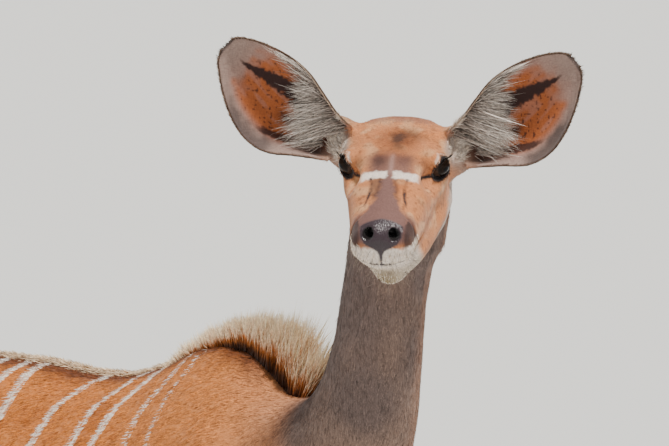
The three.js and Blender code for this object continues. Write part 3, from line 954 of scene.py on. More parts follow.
EAR_UPPER_MARK = [
    # part along the ear, middle of the mark across it
    (0.25, 0.45), (0.49, 0.42), (0.59, 0.32), (0.72, 0.18), (0.84, 0.02),
]
EAR_UPPER_HALF = [
    # part along the ear, half width of the mark
    (0.25, 0.30), (0.4, 0.26), (0.6, 0.18), (0.75, 0.12), (0.88, 0.02),
]
EAR_LOWER_MARK = [(0.2, -0.5), (0.37, -0.6), (0.55, -0.72)]
EAR_LOWER_HALF = [(0.2, 0.16), (0.37, 0.11), (0.52, 0.03)]


def ear_mark(along, width, middle, half):
    """How many half widths a place is from the middle of a dark mark that runs along the ear."""
    middle = np.interp(along, *np.array(middle).T)
    return np.abs(width - middle) / np.interp(along, *np.array(half).T)


def inside_ear(along, width, points, rough, fine, streaks):
    """Pink and orange skin with dark marks, grey towards the tip and edges."""
    centre = smoothstep(0.86, 0.70, along + 0.06 * rough) * smoothstep(-0.80, -0.55, width) \
        * smoothstep(0.92, 0.68, width + 0.1 * along)
    upper = ear_mark(along, width, EAR_UPPER_MARK, EAR_UPPER_HALF)
    lower = ear_mark(along, width, EAR_LOWER_MARK, EAR_LOWER_HALF)
    dark = np.max([
        smoothstep(1.25, 0.75, upper + 0.35 * fine) * smoothstep(0.9, 0.82, along),
        0.9 * smoothstep(1.3, 0.7, lower + 0.4 * fine) * smoothstep(0.56, 0.46, along),
        0.95 * np.exp(-((along - 0.41) / 0.055) ** 2 - ((width + 0.16) / 0.11) ** 2),
        0.8 * smoothstep(0.50, 0.62, noise(points, 3.2, 12)) * centre,
        0.9 * smoothstep(0.26, 0.14, along) * (np.abs(width) < 0.9),
    ], 0)
    low = smoothstep(-0.70, -0.88, width + 0.08 * rough) * smoothstep(0.32, 0.42, along)
    return painted(np.repeat(EAR_GREY[None], len(points), 0), [
        (smoothstep(0.95, 0.6, along) * smoothstep(-0.95, -0.4, width), EAR_PINK),
        (centre, EAR_ORANGE),
        (0.5 * centre * smoothstep(0.1, 0.7, streaks), EAR_PINK),
        (dark, EAR_DARK),
        (0.85 * low * smoothstep(0.86, 0.66, along), EAR_LOW),
    ])


def ear_tint(colour, flu, points):
    fine, rough = noise(points, 4, 8), noise(points, 12, 9)
    for side in SIDES.values():
        along, width, front, belongs = ear_place(flu, side)
        streaks = noise(np.stack([along * 60, width * 90 + side * 300, 0 * along], -1), 9, 10)
        inside = inside_ear(along, width, points, rough, fine, streaks)
        back = painted(np.repeat(EAR_BACK[None], len(flu), 0), [
            (0.6 * smoothstep(0.3, 0.05, along), CREAM),
            (0.35 * smoothstep(-0.2, 0.6, streaks), GREY),
        ])
        skin = np.where((front > 0)[:, None], inside, back)
        edge = np.maximum(smoothstep(0.955, 0.985, np.abs(width)), smoothstep(0.975, 0.99, along))
        skin = paint(skin, 0.85 * edge * (np.abs(front) < 3.4), BLACK_SKIN)
        colour = colour + (skin - colour) * (belongs * smoothstep(0.06, 0.16, along))[:, None]
    return colour


STRIPES = [
    # forward, half width, how far it bends forward at the top
    (-104, 0.6, 12), (-154, 2.4, 24), (-235, 4.6, 26), (-297, 4.4, 38), (-402, 4.9, 32),
    (-528, 5.4, -28), (-606, 5.0, 6), (-672, 4.6, 9), (-742, 4.4, 10), (-818, 3.8, 12),
]
NO_STRIPE = 30.0


def stripe_edge(points):
    """Mm outside the nearest white stripe, below 0 on it."""
    forward, _, up = to_table(points)
    best = np.full(len(points), NO_STRIPE)
    lowest = 790 + 50 * np.abs(forward + 420) / 400
    for k, (place, half, bend) in enumerate(STRIPES):
        sway = 5 * np.sin(up / 75 + 2.1 * k) + 1.5 * np.sin(up / 31 + k) + 0.03 * (up - 1000)
        line = place + bend * smoothstep(1070, 1145, up) + sway * smoothstep(1110, 1000, up)
        grown = smoothstep(lowest - 20, lowest + 70, up + 25 * np.sin(k * 1.7))
        taper = 1.15 * half * grown - 3 * (up < lowest - 20)
        best = np.minimum(best, np.abs(forward - line) - taper)
    return np.where(up > 740, best, NO_STRIPE)


def body_tint(points, normals):
    forward, left, up = to_table(points)
    side = np.abs(left)
    rough, broad, fine = noise(points, 14, 21), noise(points, 70, 22), noise(points, 5, 23)
    front = smoothstep(20, 170, forward + 0.25 * (up - 1000) + 22 * broad)
    smudges = smoothstep(0.3, 0.9, noise(points, 46, 24)) * hill(forward - 40, 90) * hill(up - 1010, 60)
    ridge = smoothstep(62, 22, side + 9 * rough) * smoothstep(0.3, 0.8, normals[:, 2]) * (up > 1000)
    shade = hill(forward + 60, 120) * smoothstep(1070, 940, up + 26 * broad) * smoothstep(780, 860, up)
    belly = smoothstep(-0.1, -0.8, normals[:, 2]) * smoothstep(860, 740, up)
    legs = smoothstep(760, 640, up)
    inner = smoothstep(0.2, 0.8, -normals[:, 0] * np.sign(left)) * legs
    colour = painted(np.repeat(TAN[None], len(points), 0), [
        (0.75 * smoothstep(-140, -230, forward) * smoothstep(780, 900, up), ORANGE),
        (0.35 * smoothstep(0.0, 0.9, broad) * (forward < -80), RUST),
        (0.85 * front, SHOULDER),
        (0.5 * smudges, SPINE),
        (0.45 * smoothstep(0.25, 0.7, fine + 0.4 * rough) * (forward < -90), RUST),
        (0.92 * ridge * smoothstep(90, 40, forward), SPINE),
        (0.4 * shade, SPINE),
        (0.8 * belly, BELLY),
        (legs, LEG),
        (0.6 * inner, CREAM),
        (0.5 * hill(up - 410, 34) * (forward > -300) * (normals[:, 1] < 0), PASTERN),
        (0.75 * smoothstep(140, 96, up), PASTERN),
        (0.8 * hill(up - 88, 14) * (normals[:, 1] < -0.2), WHITE),
    ])
    # Neck: grey throat and browner nape, with painted light: the side towards her left is painted paler
    neck = smoothstep(150, 240, forward + 0.4 * (up - 1050)) * smoothstep(980, 1060, up)
    nape = smoothstep(0.6, 0.95, normals[:, 1])
    throat = THROAT + (GREY - THROAT) * smoothstep(-0.2, 0.6, broad)[:, None]
    colour = colour + (throat - colour) * (neck * (1 - 0.8 * nape))[:, None]
    tail = smoothstep(-985, -1005, forward) * (side < 60)
    return painted(colour, [
        # Painted light: the neck's side towards her left, paler
        (0.6 * neck * smoothstep(0.2, 0.9, normals[:, 0]), SHOULDER),
        (tail * smoothstep(0.2, -0.4, normals[:, 1]), WHITE),
    ])


def tints(points, normals):
    """The coat's colour and how wet the skin is, at points on the skin."""
    flu = np.stack(to_head(points), -1)
    is_head = head_share(points)
    head, wet = head_tint(flu, points)
    head = ear_tint(head, flu, points)
    body = body_tint(points, normals)
    colour = body + (head - body) * is_head[:, None]
    mean = colour.mean(-1, keepdims=True)
    return np.clip(mean + (colour - mean) * COLOUR_DEPTH, 0.001, 1), wet * is_head


# Materials

class Nodes:
    """Short ways to add nodes to a material's tree."""

    def __init__(self, name):
        self.material = bpy.data.materials.new(name)
        self.material.use_nodes = True
        self.tree = self.material.node_tree
        self.shader = self.tree.nodes["Principled BSDF"]

    def add(self, kind, values=None, **settings):
        node = self.tree.nodes.new(kind)
        for key, value in settings.items():
            setattr(node, key, value)
        for key, value in (values or {}).items():
            self.join(value, node.inputs[key])
        return node

    def join(self, value, socket):
        if isinstance(value, bpy.types.NodeSocket):
            self.tree.links.new(value, socket)
        else:
            socket.default_value = value

    def attribute(self, name, output="Fac"):
        return self.add("ShaderNodeAttribute", attribute_name=name).outputs[output]

    def place(self):
        return self.add("ShaderNodeTexCoord").outputs["Object"]

    def noise(self, where, scale, detail=3.0, roughness=0.6):
        values = {"Vector": where, "Scale": scale, "Detail": detail, "Roughness": roughness}
        return self.add("ShaderNodeTexNoise", values).outputs["Fac"]

    def range(self, value, low, high, start=0.0, end=1.0):
        return self.add("ShaderNodeMapRange", {
            "Value": value, "From Min": low, "From Max": high, "To Min": start, "To Max": end,
        }).outputs["Result"]

    def math(self, operation, a, b):
        return self.add("ShaderNodeMath", {0: a, 1: b}, operation=operation).outputs[0]

    def mix(self, part, a, b, blend="MIX"):
        node = self.add("ShaderNodeMix", data_type="RGBA", blend_type=blend)
        self.join(part, node.inputs[0])
        self.join(a, node.inputs[6])
        self.join(b, node.inputs[7])
        return node.outputs[2]

    def bump(self, height, strength, distance, below=None):
        values = {"Height": height, "Strength": strength, "Distance": distance}
        if below is not None:
            values["Normal"] = below
        return self.add("ShaderNodeBump", values).outputs["Normal"]

    def finish(self, **inputs):
        """The material, with these inputs of its shader set. A _ in a name stands for a space."""
        for key, value in inputs.items():
            self.join(value, self.shader.inputs[key.replace("_", " ")])
        return self.material


def along_the_hair(nodes, place, scale):
    """Noise drawn out along the way the hair lies."""
    parts = []
    for stretch in ((0.14, 1, 1), (1, 0.14, 1), (1, 1, 0.14)):
        drawn = nodes.add("ShaderNodeVectorMath", {0: place, 1: stretch}, operation="MULTIPLY").outputs[0]
        parts.append(nodes.noise(drawn, scale, 3.0, 0.65))
    three = nodes.add("ShaderNodeCombineXYZ", dict(zip("XYZ", parts))).outputs[0]
    lie = nodes.attribute("lie", "Vector")
    return nodes.add("ShaderNodeVectorMath", {0: three, 1: lie}, operation="DOT_PRODUCT").outputs["Value"]


def hair_material():
    nodes = Nodes("hair")
    colour = nodes.attribute("tint", "Color")
    fleck = nodes.noise(nodes.place(), 240.0, 2.0)
    light = nodes.mix(1.0, colour, (1.25, 1.22, 1.18, 1), "MULTIPLY")
    dark = nodes.mix(1.0, colour, (0.72, 0.68, 0.66, 1), "MULTIPLY")
    return nodes.finish(
        Base_Color=nodes.mix(nodes.range(fleck, 0.35, 0.65), dark, light),
        Roughness=nodes.range(fleck, 0.3, 0.7, 0.55, 0.75),
        Specular_IOR_Level=0.3,
    )


def fur_material():
    """The skin's coat: streaks and clumps along the hair, white stripes, and the wet pad and eyelids."""
    nodes = Nodes("fur")
    place = nodes.place()
    strands = along_the_hair(nodes, place, 480.0)
    clumps = along_the_hair(nodes, place, 150.0)
    patches = nodes.noise(place, 26.0)
    wet = nodes.attribute("wet")
    colour = nodes.attribute("tint", "Color")
    dark = nodes.mix(1.0, colour, (0.50, 0.42, 0.38, 1), "MULTIPLY")
    light = nodes.mix(1.0, colour, (1.35, 1.32, 1.28, 1), "MULTIPLY")
    furry = nodes.mix(nodes.range(strands, 0.40, 0.66), dark, light)
    furry = nodes.mix(nodes.range(clumps, 0.35, 0.75, 0.0, 0.45), furry, dark)
    furry = nodes.mix(nodes.range(patches, 0.35, 0.7, 0.0, 0.25), furry, light)
    furry = nodes.mix(0.55, colour, furry)
    ragged = nodes.range(nodes.noise(place, 300.0), 0.3, 0.7, -0.9, 0.9)
    edge = nodes.math("ADD", nodes.attribute("stripe"), ragged)
    furry = nodes.mix(nodes.range(edge, 1.0, -0.8), furry, (0.80, 0.72, 0.62, 1))
    beads = nodes.add("ShaderNodeTexVoronoi", {"Vector": place, "Scale": 420.0}).outputs["Distance"]
    dry = nodes.math("SUBTRACT", 1.0, wet)
    hair_bump = nodes.bump(nodes.math("MULTIPLY", strands, dry), 0.7, 0.0012)
    return nodes.finish(
        Base_Color=nodes.mix(wet, furry, colour),
        Roughness=nodes.range(wet, 0.0, 1.0, 0.78, 0.24),
        Normal=nodes.bump(nodes.math("MULTIPLY", beads, wet), 0.55, 0.0012, hair_bump),
        Specular_IOR_Level=0.35,
        Sheen_Weight=0.12,
        Sheen_Roughness=0.5,
    )


def eye_material():
    nodes = Nodes("eye")
    around = nodes.attribute("iris")
    place = nodes.place()
    threads = nodes.noise(place, 900.0, 4.0)
    brown = nodes.mix(nodes.range(threads, 0.35, 0.7), (0.006, 0.003, 0.002, 1), (0.020, 0.010, 0.005, 1))
    pupil = nodes.range(nodes.attribute("pupil"), 0.60, 0.68)
    colour = nodes.mix(pupil, (0.002, 0.002, 0.002, 1), brown)
    colour = nodes.mix(nodes.range(around, 0.92, 1.05), colour, (0.010, 0.006, 0.004, 1))
    return nodes.finish(
        Base_Color=nodes.mix(nodes.range(around, 1.25, 1.45), colour, (0.05, 0.030, 0.022, 1)),
        Roughness=nodes.range(threads, 0.3, 0.7, 0.10, 0.18),
        Normal=nodes.bump(nodes.noise(place, 300.0), 0.03, 0.0004),
        Coat_Weight=0.35,
        Coat_Roughness=0.02,
        Coat_IOR=1.16,
        Specular_IOR_Level=0.06,
    )


def horn_material():
    nodes = Nodes("horn")
    place = nodes.place()
    rings = nodes.add("ShaderNodeTexWave", {
        "Vector": place, "Scale": 55.0, "Distortion": 2.0, "Detail": 2.0, "Detail Scale": 1.5,
    }, bands_direction="Z").outputs["Fac"]
    wear = nodes.noise(place, 90.0, 4.0, 0.65)
    colour = nodes.mix(nodes.range(wear, 0.35, 0.72), (0.022, 0.018, 0.017, 1), (0.085, 0.068, 0.056, 1))
    return nodes.finish(
        Base_Color=nodes.mix(nodes.range(rings, 0.2, 0.9, 0.0, 0.35), colour, (0.13, 0.105, 0.085, 1)),
        Roughness=nodes.range(wear, 0.3, 0.7, 0.34, 0.6),
        Normal=nodes.bump(nodes.noise(place, 500.0), 0.15, 0.0004, nodes.bump(rings, 0.25, 0.0008)),
    )


# Hair: strips of mesh rooted in the skin

def scatter(weights, count, random):
    """Places on the skin, more where the weight is greater: faces, and the shares of each one's corners."""
    a, b, c, d = (points[quads[:, k]] for k in range(4))
    area = np.linalg.norm(np.cross(c - a, d - b), axis=1) / 2 * weights
    total = np.cumsum(area)
    face = np.searchsorted(total, random.uniform(0, total[-1], count))
    face = np.minimum(face, len(quads) - 1)
    u, v = random.uniform(0, 1, (2, count))
    return face, np.stack([(1 - u) * (1 - v), u * (1 - v), u * v, (1 - u) * v], -1)


def at_roots(values, face, corners):
    picked = values[quads[face]]
    return (picked * (corners if values.ndim == 1 else corners[..., None])).sum(1)


def head_way(forward, left, up):
    """A direction on the head, in the animal's axes."""
    return np.stack(np.broadcast_arrays(left, -forward, up), -1) @ HEAD_TURN.T


def mixed(way, other, share):
    return way * (1 - share[:, None]) + other * share[:, None]


WHORL = (-24.0, 4.0)


def lie_of(roots, normal):
    """The way the hair lies, as a unit vector along the skin."""
    forward, left, up = to_head(roots)
    t_forward, t_left, t_up = to_table(roots)
    flu = np.stack([forward, left, up], -1)
    ahead = smoothstep(-40, 0, forward)
    way = head_way(2 * ahead - 1, 0.15 * np.sign(left), -0.35)
    from_whorl = (forward - WHORL[0], left - WHORL[1])
    swirl = head_way(from_whorl[0] / 30, from_whorl[1] / 30, 0.0)
    way = mixed(way, swirl, hill(np.hypot(*from_whorl), 34) * (up > 10))
    way = mixed(way, head_way(-0.8, 0.0, -0.55), smoothstep(-10, -50, up))
    for side in SIDES.values():
        _, axis, _, _ = ear_axes(side)
        *_, belongs = ear_place(flu, side)
        way = mixed(way, head_way(*axis), belongs)
    backwards = np.stack(np.broadcast_arrays(0.1 * np.sign(t_left), 1.0, -0.45), -1)
    leg = smoothstep(800, 680, t_up)
    neck = smoothstep(150, 230, t_forward + 0.4 * (t_up - 1050)) * (t_up > 950)
    tail = smoothstep(-1000, -1012, t_forward)
    body = mixed(backwards, np.array([0, 0.12, -1.0]), np.maximum(np.maximum(leg, neck), tail))
    way = mixed(body, way, head_share(roots))
    return unit(way - normal * (way * normal).sum(-1, keepdims=True))


def between(stops, part):
    """The strips' colours at each place along them."""
    places = [place for place, _ in stops]
    rows = []
    for p in part:
        k = min(int(np.searchsorted(places, p, side="right")) - 1, len(stops) - 2)
        share = (p - places[k]) / (places[k + 1] - places[k])
        rows.append(stops[k][1] + (stops[k + 1][1] - stops[k][1]) * share)
    return np.stack(rows, 1)


ROOT_DEPTH = 0.4
PATCH_HALF = 0.0015


def strips(name, root, normal, way, length, width, lift, curl, stops, uv, material, parts=2, like_skin=True):
    """Thin tapering strips from the roots.

    Lift is how far each tip stands off the skin for its length, and curl bends it on the way there.
    Each of the stops is a place along the strip, 0 to 1, and the strips' colours there.
    """
    n = len(root)
    side = unit(np.cross(way, normal))
    if not like_skin:
        angle = RANDOM.uniform(0, math.pi, n)[:, None]
        side = unit(side * np.cos(angle) + np.cross(way, side) * np.sin(angle))
    t = np.linspace(0, 1, parts + 1)
    rows = []
    for k, s in enumerate(t):
        rise = length * lift * s - ROOT_DEPTH
        run = way * (length * s)[:, None] + normal * rise[:, None] + curl * (length * s * s)[:, None]
        centre = root + run
        half = side * (width * 0.5 * (1 - s) ** 0.7)[:, None]
        rows.extend([centre - half, centre + half] if k < parts else [centre])
    vertices = np.stack(rows, 1).reshape(-1, 3)
    per = 2 * parts + 1
    faces = []
    for k in range(parts - 1):
        faces.extend([(2 * k, 2 * k + 1, 2 * k + 3), (2 * k, 2 * k + 3, 2 * k + 2)])
    faces.append((2 * parts - 2, 2 * parts - 1, 2 * parts))
    faces = (np.array(faces)[None] + (np.arange(n) * per)[:, None, None]).reshape(-1, 3)
    piece = mesh_object(name, vertices, faces)
    part = np.concatenate([np.repeat(t[:-1], 2), [1.0]])
    attribute(piece, "tint", with_alpha(np.clip(between(stops, part), 0, 1).reshape(-1, 3)))
    if like_skin:
        piece.data.normals_split_custom_set_from_vertices(np.repeat(normal, per, 0).astype(np.float32))
    across = np.concatenate([np.tile([-1.0, 1.0], parts), [0.0]])
    patch = np.stack([across, part * 2 - 1], -1) * PATCH_HALF
    uvs = (uv[:, None] + patch[None]).reshape(-1, 2)
    layer = piece.data.uv_layers.new(name="OFBake")
    layer.data.foreach_set("uv", np.ascontiguousarray(uvs[faces.ravel()], np.float32).ravel())
    piece.data.materials.append(material)
    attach(piece, "root")
    return piece


# The skin

def from_table(forward, left, up):
    return np.stack([left + TABLE_SHIFT[0], TABLE_SHIFT[1] - forward, up], -1)


def head_share(points):
    """1 on the head and ears, 0 on the body."""
    forward, left, up = to_head(points)
    height = points[:, 2]
    share = smoothstep(-150, -112, forward) * smoothstep(-134, -106, up) * smoothstep(1240, 1260, height)
    return np.maximum(share, (np.abs(left) > 92) * (height > 1380))
    return np.maximum(share, (np.abs(left) > 92) * (points[:, 2] > 1380))


def sculpted(points, quads):
    normals = vertex_normals(points, quads)
    share = head_share(points)
    out = head_sculpt(np.stack(to_head(points), -1)) * share + body_sculpt(points) * (1 - share)
    return points + normals * out[:, None]


def coloured(points, normals, stripes=True):
    """The coat's colour with its white stripes, and how wet the skin is."""
    tint, wet = tints(points, normals)
    if stripes:
        white = smoothstep(1.6, -0.2, stripe_edge(points) + 0.6 * noise(points, 9, 30))
        tint = paint(tint, white, WHITE)
    return tint, wet


def with_alpha(colour):
    return np.concatenate([colour, np.ones((len(colour), 1))], -1)


def skin_piece():
    piece = mesh_object("skin", points, quads)
    tint, wet = coloured(points, normals, stripes=False)
    attribute(piece, "tint", with_alpha(tint))
    attribute(piece, "wet", wet)
    attribute(piece, "stripe", stripe_edge(points))
    attribute(piece, "lie", lie_of(points, normals) ** 2)
    piece.data.materials.append(fur_material())
    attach(piece, "root")
    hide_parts(*FLESH)


# Short hair all over

BALD_ROUND_EYE = 30
BALD_ROUND_NOSTRIL = 10
FLOOR_CLEARANCE = 6


def coat_length(points, normals, flu, share):
    """How long the short hair is, and 0 where the skin is bare."""
    up = points[:, 2]
    body = 15 + 5 * smoothstep(-0.2, -0.8, normals[:, 2]) * (up > 600)
    body = body - 6 * smoothstep(700, 560, up) - 2 * smoothstep(200, 120, up)
    on_face = 4.2 + 3.6 * smoothstep(70, -90, flu[:, 0]) + 1.5 * smoothstep(-80, -130, flu[:, 2])
    length = body + (on_face - body) * share
    bare = (pad_mask(flu) > 0.3) * (share > 0.5) + (up < FLOOR_CLEARANCE)
    for side in SIDES.values():
        _, width, front, belongs = ear_place(flu, side)
        ear = np.where(front > 0, 3.6 + 2.0 * smoothstep(0.6, 0.95, np.abs(width)), 6.5)
        length = length + (ear - length) * belongs
        eye = (flu[:, 0], side * flu[:, 1], flu[:, 2])
        away, _ = eye_opening(*eye)
        bare = bare + (eye_distance(*eye) < BALD_ROUND_EYE) * (eye[1] > 20) * (away < 3.0)
        bare = bare + (nostril_distance(flu, side)[0] < BALD_ROUND_NOSTRIL)
    return np.where(bare, 0, length)


def cell(around, along, low, high, corner, size):
    """Places in one cell of the flat layout, from an angle and a height."""
    u = np.arctan2(*around) / (2 * math.pi) + 0.5
    v = np.clip((along - low) / (high - low), 0, 1)
    return np.array(corner) + np.stack([u, v], -1) * np.array(size)


LEG_PLACES = [(60, 1), (60, -1), (-820, 1), (-820, -1)]


def unwrap(points):
    """Places on a flat layout, where trunk, neck, head, ears and legs are unrolled round their own axes."""
    forward, left, up = to_table(points)
    flu = np.stack(to_head(points), -1)
    on_head = head_share(points) > 0.5
    place = cell((left, up - 900), forward, -1080, 240, (0.01, 0.01), (0.47, 0.47))
    neck = cell((left + 40, forward - 330), up, 900, 1420, (0.01, 0.51), (0.3, 0.47))
    place = np.where(((forward > 190) * (up > 960))[:, None], neck, place)
    face = cell((flu[:, 1], flu[:, 2] + 40), flu[:, 0], -170, 210, (0.33, 0.51), (0.33, 0.47))
    place = np.where(on_head[:, None], face, place)
    for k, side in enumerate(SIDES.values()):
        along, width, front, belongs = ear_place(flu, side)
        ear = cell((width, front / 10), along, 0, 1.05, (0.69 + 0.155 * k, 0.51), (0.14, 0.47))
        place = np.where((belongs > 0.5)[:, None], ear, place)
    for k, (f, side) in enumerate(LEG_PLACES):
        leg = cell((left - 75 * side, forward - f), up, 0, 720, (0.51 + 0.12 * k, 0.01), (0.105, 0.48))
        here = (up < 700) * (left * side > 0) * (np.abs(forward - f) < 430) * ~on_head
        place = np.where(here[:, None], leg, place)
    return place


SHORT_TUFTS = 390000


def short_coat(material):
    random = np.random.default_rng(21)
    share = head_share(points)
    flu = np.stack(to_head(points), -1)
    length = coat_length(points, normals, flu, share)
    wanted = np.where(length > 0, 1 / np.maximum(length, 3.0) ** 1.55, 0)
    face, corners = scatter(wanted[quads].mean(1), SHORT_TUFTS, random)
    root = at_roots(points, face, corners)
    normal = unit(at_roots(normals, face, corners))
    flu = np.stack(to_head(root), -1)
    share = head_share(root)
    length = coat_length(root, normal, flu, share)
    kept = length > 0
    root, normal, flu, share, length = root[kept], normal[kept], flu[kept], share[kept], length[kept]
    count = len(root)
    tint, _ = coloured(root, normal)
    way = lie_of(root, normal)
    side = np.cross(way, normal)
    clump = noise(root, 22, 31)
    way = unit(way + side * (0.16 * random.normal(0, 1, count) + 0.25 * clump)[:, None])
    width = length * random.uniform(0.12, 0.19, count)
    lift = random.uniform(0.03, 0.13, count) + 0.05 * smoothstep(0.2, 0.8, noise(root, 12, 32))
    length = length * random.uniform(0.75, 1.2, count)
    shade = (random.normal(1.0, 0.19, count) + (0.14 + 0.12 * share) * noise(root, 5, 33))[:, None]
    place = unwrap(root)
    forward, _, up = to_table(root)
    region = np.where(share > 0.5, 0, np.where(forward > 130, 1, np.where(forward > -380, 2, 3)))
    region = np.where((share < 0.5) * (up < 700), 4, region)
    at_root, at_tip = tint * shade * 0.82, tint * shade * 1.16
    for k, name in enumerate(["fur_head", "fur_neck", "fur_shoulders", "fur_rump", "fur_legs"]):
        here = region == k
        stops = [(0, at_root[here]), (1, at_tip[here])]
        piece = strips(name, root[here], normal[here], way[here], length[here], width[here], lift[here],
                       0 * normal[here], stops, place[here], material, parts=1)


# Long hair

def locks(name, root, normal, way, length, width, lift, curl, stops, material, parts=3):
    piece = strips(name, root, normal, way, length, width, lift, curl, stops, unwrap(root), material,
                   parts=parts, like_skin=False)
    return piece


CREST = [
    # forward, root, how far the tips are above it, half width, how far they are ahead of it
    (-215, 1140, 22, 13, -16),
    (-190, 1148, 32, 16, -16),
    (-110, 1175, 42, 20, -10),
    (-50, 1190, 50, 22, 0),
    (10, 1190, 60, 23, 10),
    (60, 1166, 88, 22, 32),
    (105, 1134, 114, 19, 56),
    (140, 1100, 104, 15, 66),
]
CREST_LOCKS = 30
CREST_HAIRS = 15000
CREST_COLOURS = [
    # place along the hair, colour
    (0, srgb(44, 24, 14)),
    (0.22, srgb(44, 24, 14) * 1.4),
    (0.5, srgb(186, 112, 52)),
    (0.78, srgb(255, 236, 204)),
    (1, srgb(255, 236, 204)),
]


def crest(material):
    """Hair that fans up and forward in locks: dark at the root, orange, then nearly white at the tip."""
    random = np.random.default_rng(31)
    count = CREST_HAIRS
    forward = random.uniform(-215, 142, count)
    lock = np.round((forward + random.normal(0, 3, count)) / 357 * CREST_LOCKS)
    lock_lean, lock_height = random.normal(0, 1, (2, 200))
    lock = lock.astype(int) + 100
    base, height, half, ahead = curve(forward, CREST).T
    left = random.uniform(-1, 1, count) * half
    root = from_table(forward, left, base - 6 - 0.012 * left ** 2)
    ahead = ahead + height * (0.13 * lock_lean[lock] + random.normal(0, 0.08, count))
    splay = left * 0.35 + height * random.normal(0, 0.07, count)
    way = np.stack([splay, -ahead, height], -1)
    length = np.linalg.norm(way, axis=-1)
    way = way / length[:, None]
    length = length * random.uniform(0.60, 1.06, count) * (0.97 + 0.09 * lock_height[lock])
    length = length * (1 - 0.3 * np.abs(left / half) ** 2) + 4
    normal = unit(np.cross(np.repeat([[1.0, 0.0, 0.0]], count, 0), way))
    curl = random.normal(0, 0.07, (count, 3)) + np.array([0, -0.06, -0.05]) + 0.05 * lock_lean[lock][:, None]
    fade = random.normal(1, 0.14, count)[:, None]
    width = random.uniform(1.2, 2.4, count)
    stops = [(place, colour * fade) for place, colour in CREST_COLOURS]
    piece = locks("crest_hair", root, normal, way, length, width, 0 * length, curl, stops, material,
                  parts=4)
    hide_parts("crest")


def grown(name, weight, count, long, width, lift, spread, curl, colours, fading, random, material,
          slot="coat"):
    """Hair on the skin, more of it where the weight is greater.

    Lift is a lowest and a highest value, and fading is how much the hairs' brightness varies.
    """
    face, corners = scatter(weight[quads].mean(1), count, random)
    root = at_roots(points, face, corners)
    normal = unit(at_roots(normals, face, corners))
    way = lie_of(root, normal)
    way = unit(way + np.cross(way, normal) * random.normal(0, spread, count)[:, None])
    length = long * random.uniform(0.6, 1.2, count)
    lifts = random.uniform(*lift, count)
    fade = random.normal(1, fading, count)[:, None] if fading else np.ones((count, 1))
    stops = [(0, colours[0] * fade), (1, colours[1] * fade)]
    locks(name, root, normal, way, length, np.full(count, width), lifts, curl * normal, stops, material,
          parts=2)


def ridge_hair(material):
    """Pale hair along the back, and a short brown mane down the nape, a little thinner in places."""
    random = np.random.default_rng(41)
    forward, left, up = to_table(points)
    spine = hill(left, 9) * smoothstep(0.5, 0.8, normals[:, 2]) * (up > 1000)
    spine = spine * smoothstep(-120, -180, forward)
    facing_back = smoothstep(0.80, 0.95, normals[:, 1])
    nape = (head_share(points) < 0.6) * (forward > 140) * facing_back * smoothstep(1120, 1160, up)
    grown("back_hair", spine * (forward > -960), 7000, 17, 1.9, (0.25, 0.75), 0.3, -0.25,
          (srgb(170, 126, 88), srgb(246, 228, 196)), 0.12, random, material)
    grown("nape_hair", nape * hill(noise(points, 500, 50), 2), 6000, 21, 1.9, (0.15, 0.5), 0.3, -0.25,
          (srgb(70, 42, 26), srgb(176, 122, 78)), 0.12, random, material, "mane")


EAR_HAIR = [
    # root along and round the cup, tip along and round the cup, share of the hairs
    ((0.16, 0.62), (0.30, -0.30), 0.9),
    ((0.22, 0.80), (0.36, -0.15), 1.4),
    ((0.30, 0.88), (0.44, 0.05), 1.4),
    ((0.38, 0.90), (0.52, 0.35), 1.1),
    ((0.28, 0.44), (0.36, -0.28), 1.0),
    ((0.16, -0.20), (0.28, -0.42), 0.7),
    ((0.48, 0.93), (0.62, 0.62), 0.6),
    ((0.60, 0.95), (0.74, 0.72), 0.4),
]


EAR_HAIRS = 3200
EAR_HAIR_COLOURS = [(0, srgb(96, 80, 72)), (0.35, srgb(190, 180, 172)), (1, srgb(232, 226, 218))]


def in_cup(side, place, facing, float_by):
    """A point on the head, this far in front of the ear's middle, where place is along and round the cup."""
    middle = ear_middle(side, place[:, 0], np.clip(place[:, 1], -0.97, 0.97))
    return from_head_points(middle + facing * float_by)


def ear_hair(material):
    random = np.random.default_rng(51)
    starts, ends, share = (np.array(column) for column in zip(*EAR_HAIR))
    count = EAR_HAIRS
    for name, side in SIDES.items():
        pick = random.choice(len(EAR_HAIR), count, p=share / share.sum())
        start = starts[pick] + random.normal(0, 1, (count, 2)) * [0.035, 0.05]
        end = ends[pick] + random.normal(0, 1, (count, 2)) * [0.05, 0.14]
        *_, facing = ear_axes(side)
        float_by = 7 + 9 * random.uniform(0, 1, count)
        root = in_cup(side, start, facing, 2.0)
        tip = in_cup(side, end, facing, float_by[:, None])
        reach = np.linalg.norm(tip - root, axis=-1)
        way = (tip - root) / reach[:, None]
        out = np.repeat([head_way(*facing)], count, 0)
        normal = unit(out - way * (out * way).sum(-1, keepdims=True))
        length = reach * random.uniform(0.6, 1.0, count)
        fade = random.normal(1, 0.13, count)[:, None]
        fade = np.where(random.uniform(0, 1, (count, 1)) < 0.2, 0.35, 1.1) * fade
        lift = random.uniform(0.05, 0.3, count)
        stops = [(place, colour * fade) for place, colour in EAR_HAIR_COLOURS]
        locks(f"ear_hair_{name}", root, normal, way, length, np.full(count, 1.2), lift, -0.2 * normal, stops,
              material)
        rim(name, side, material, random)


RIM_HAIRS = 2600


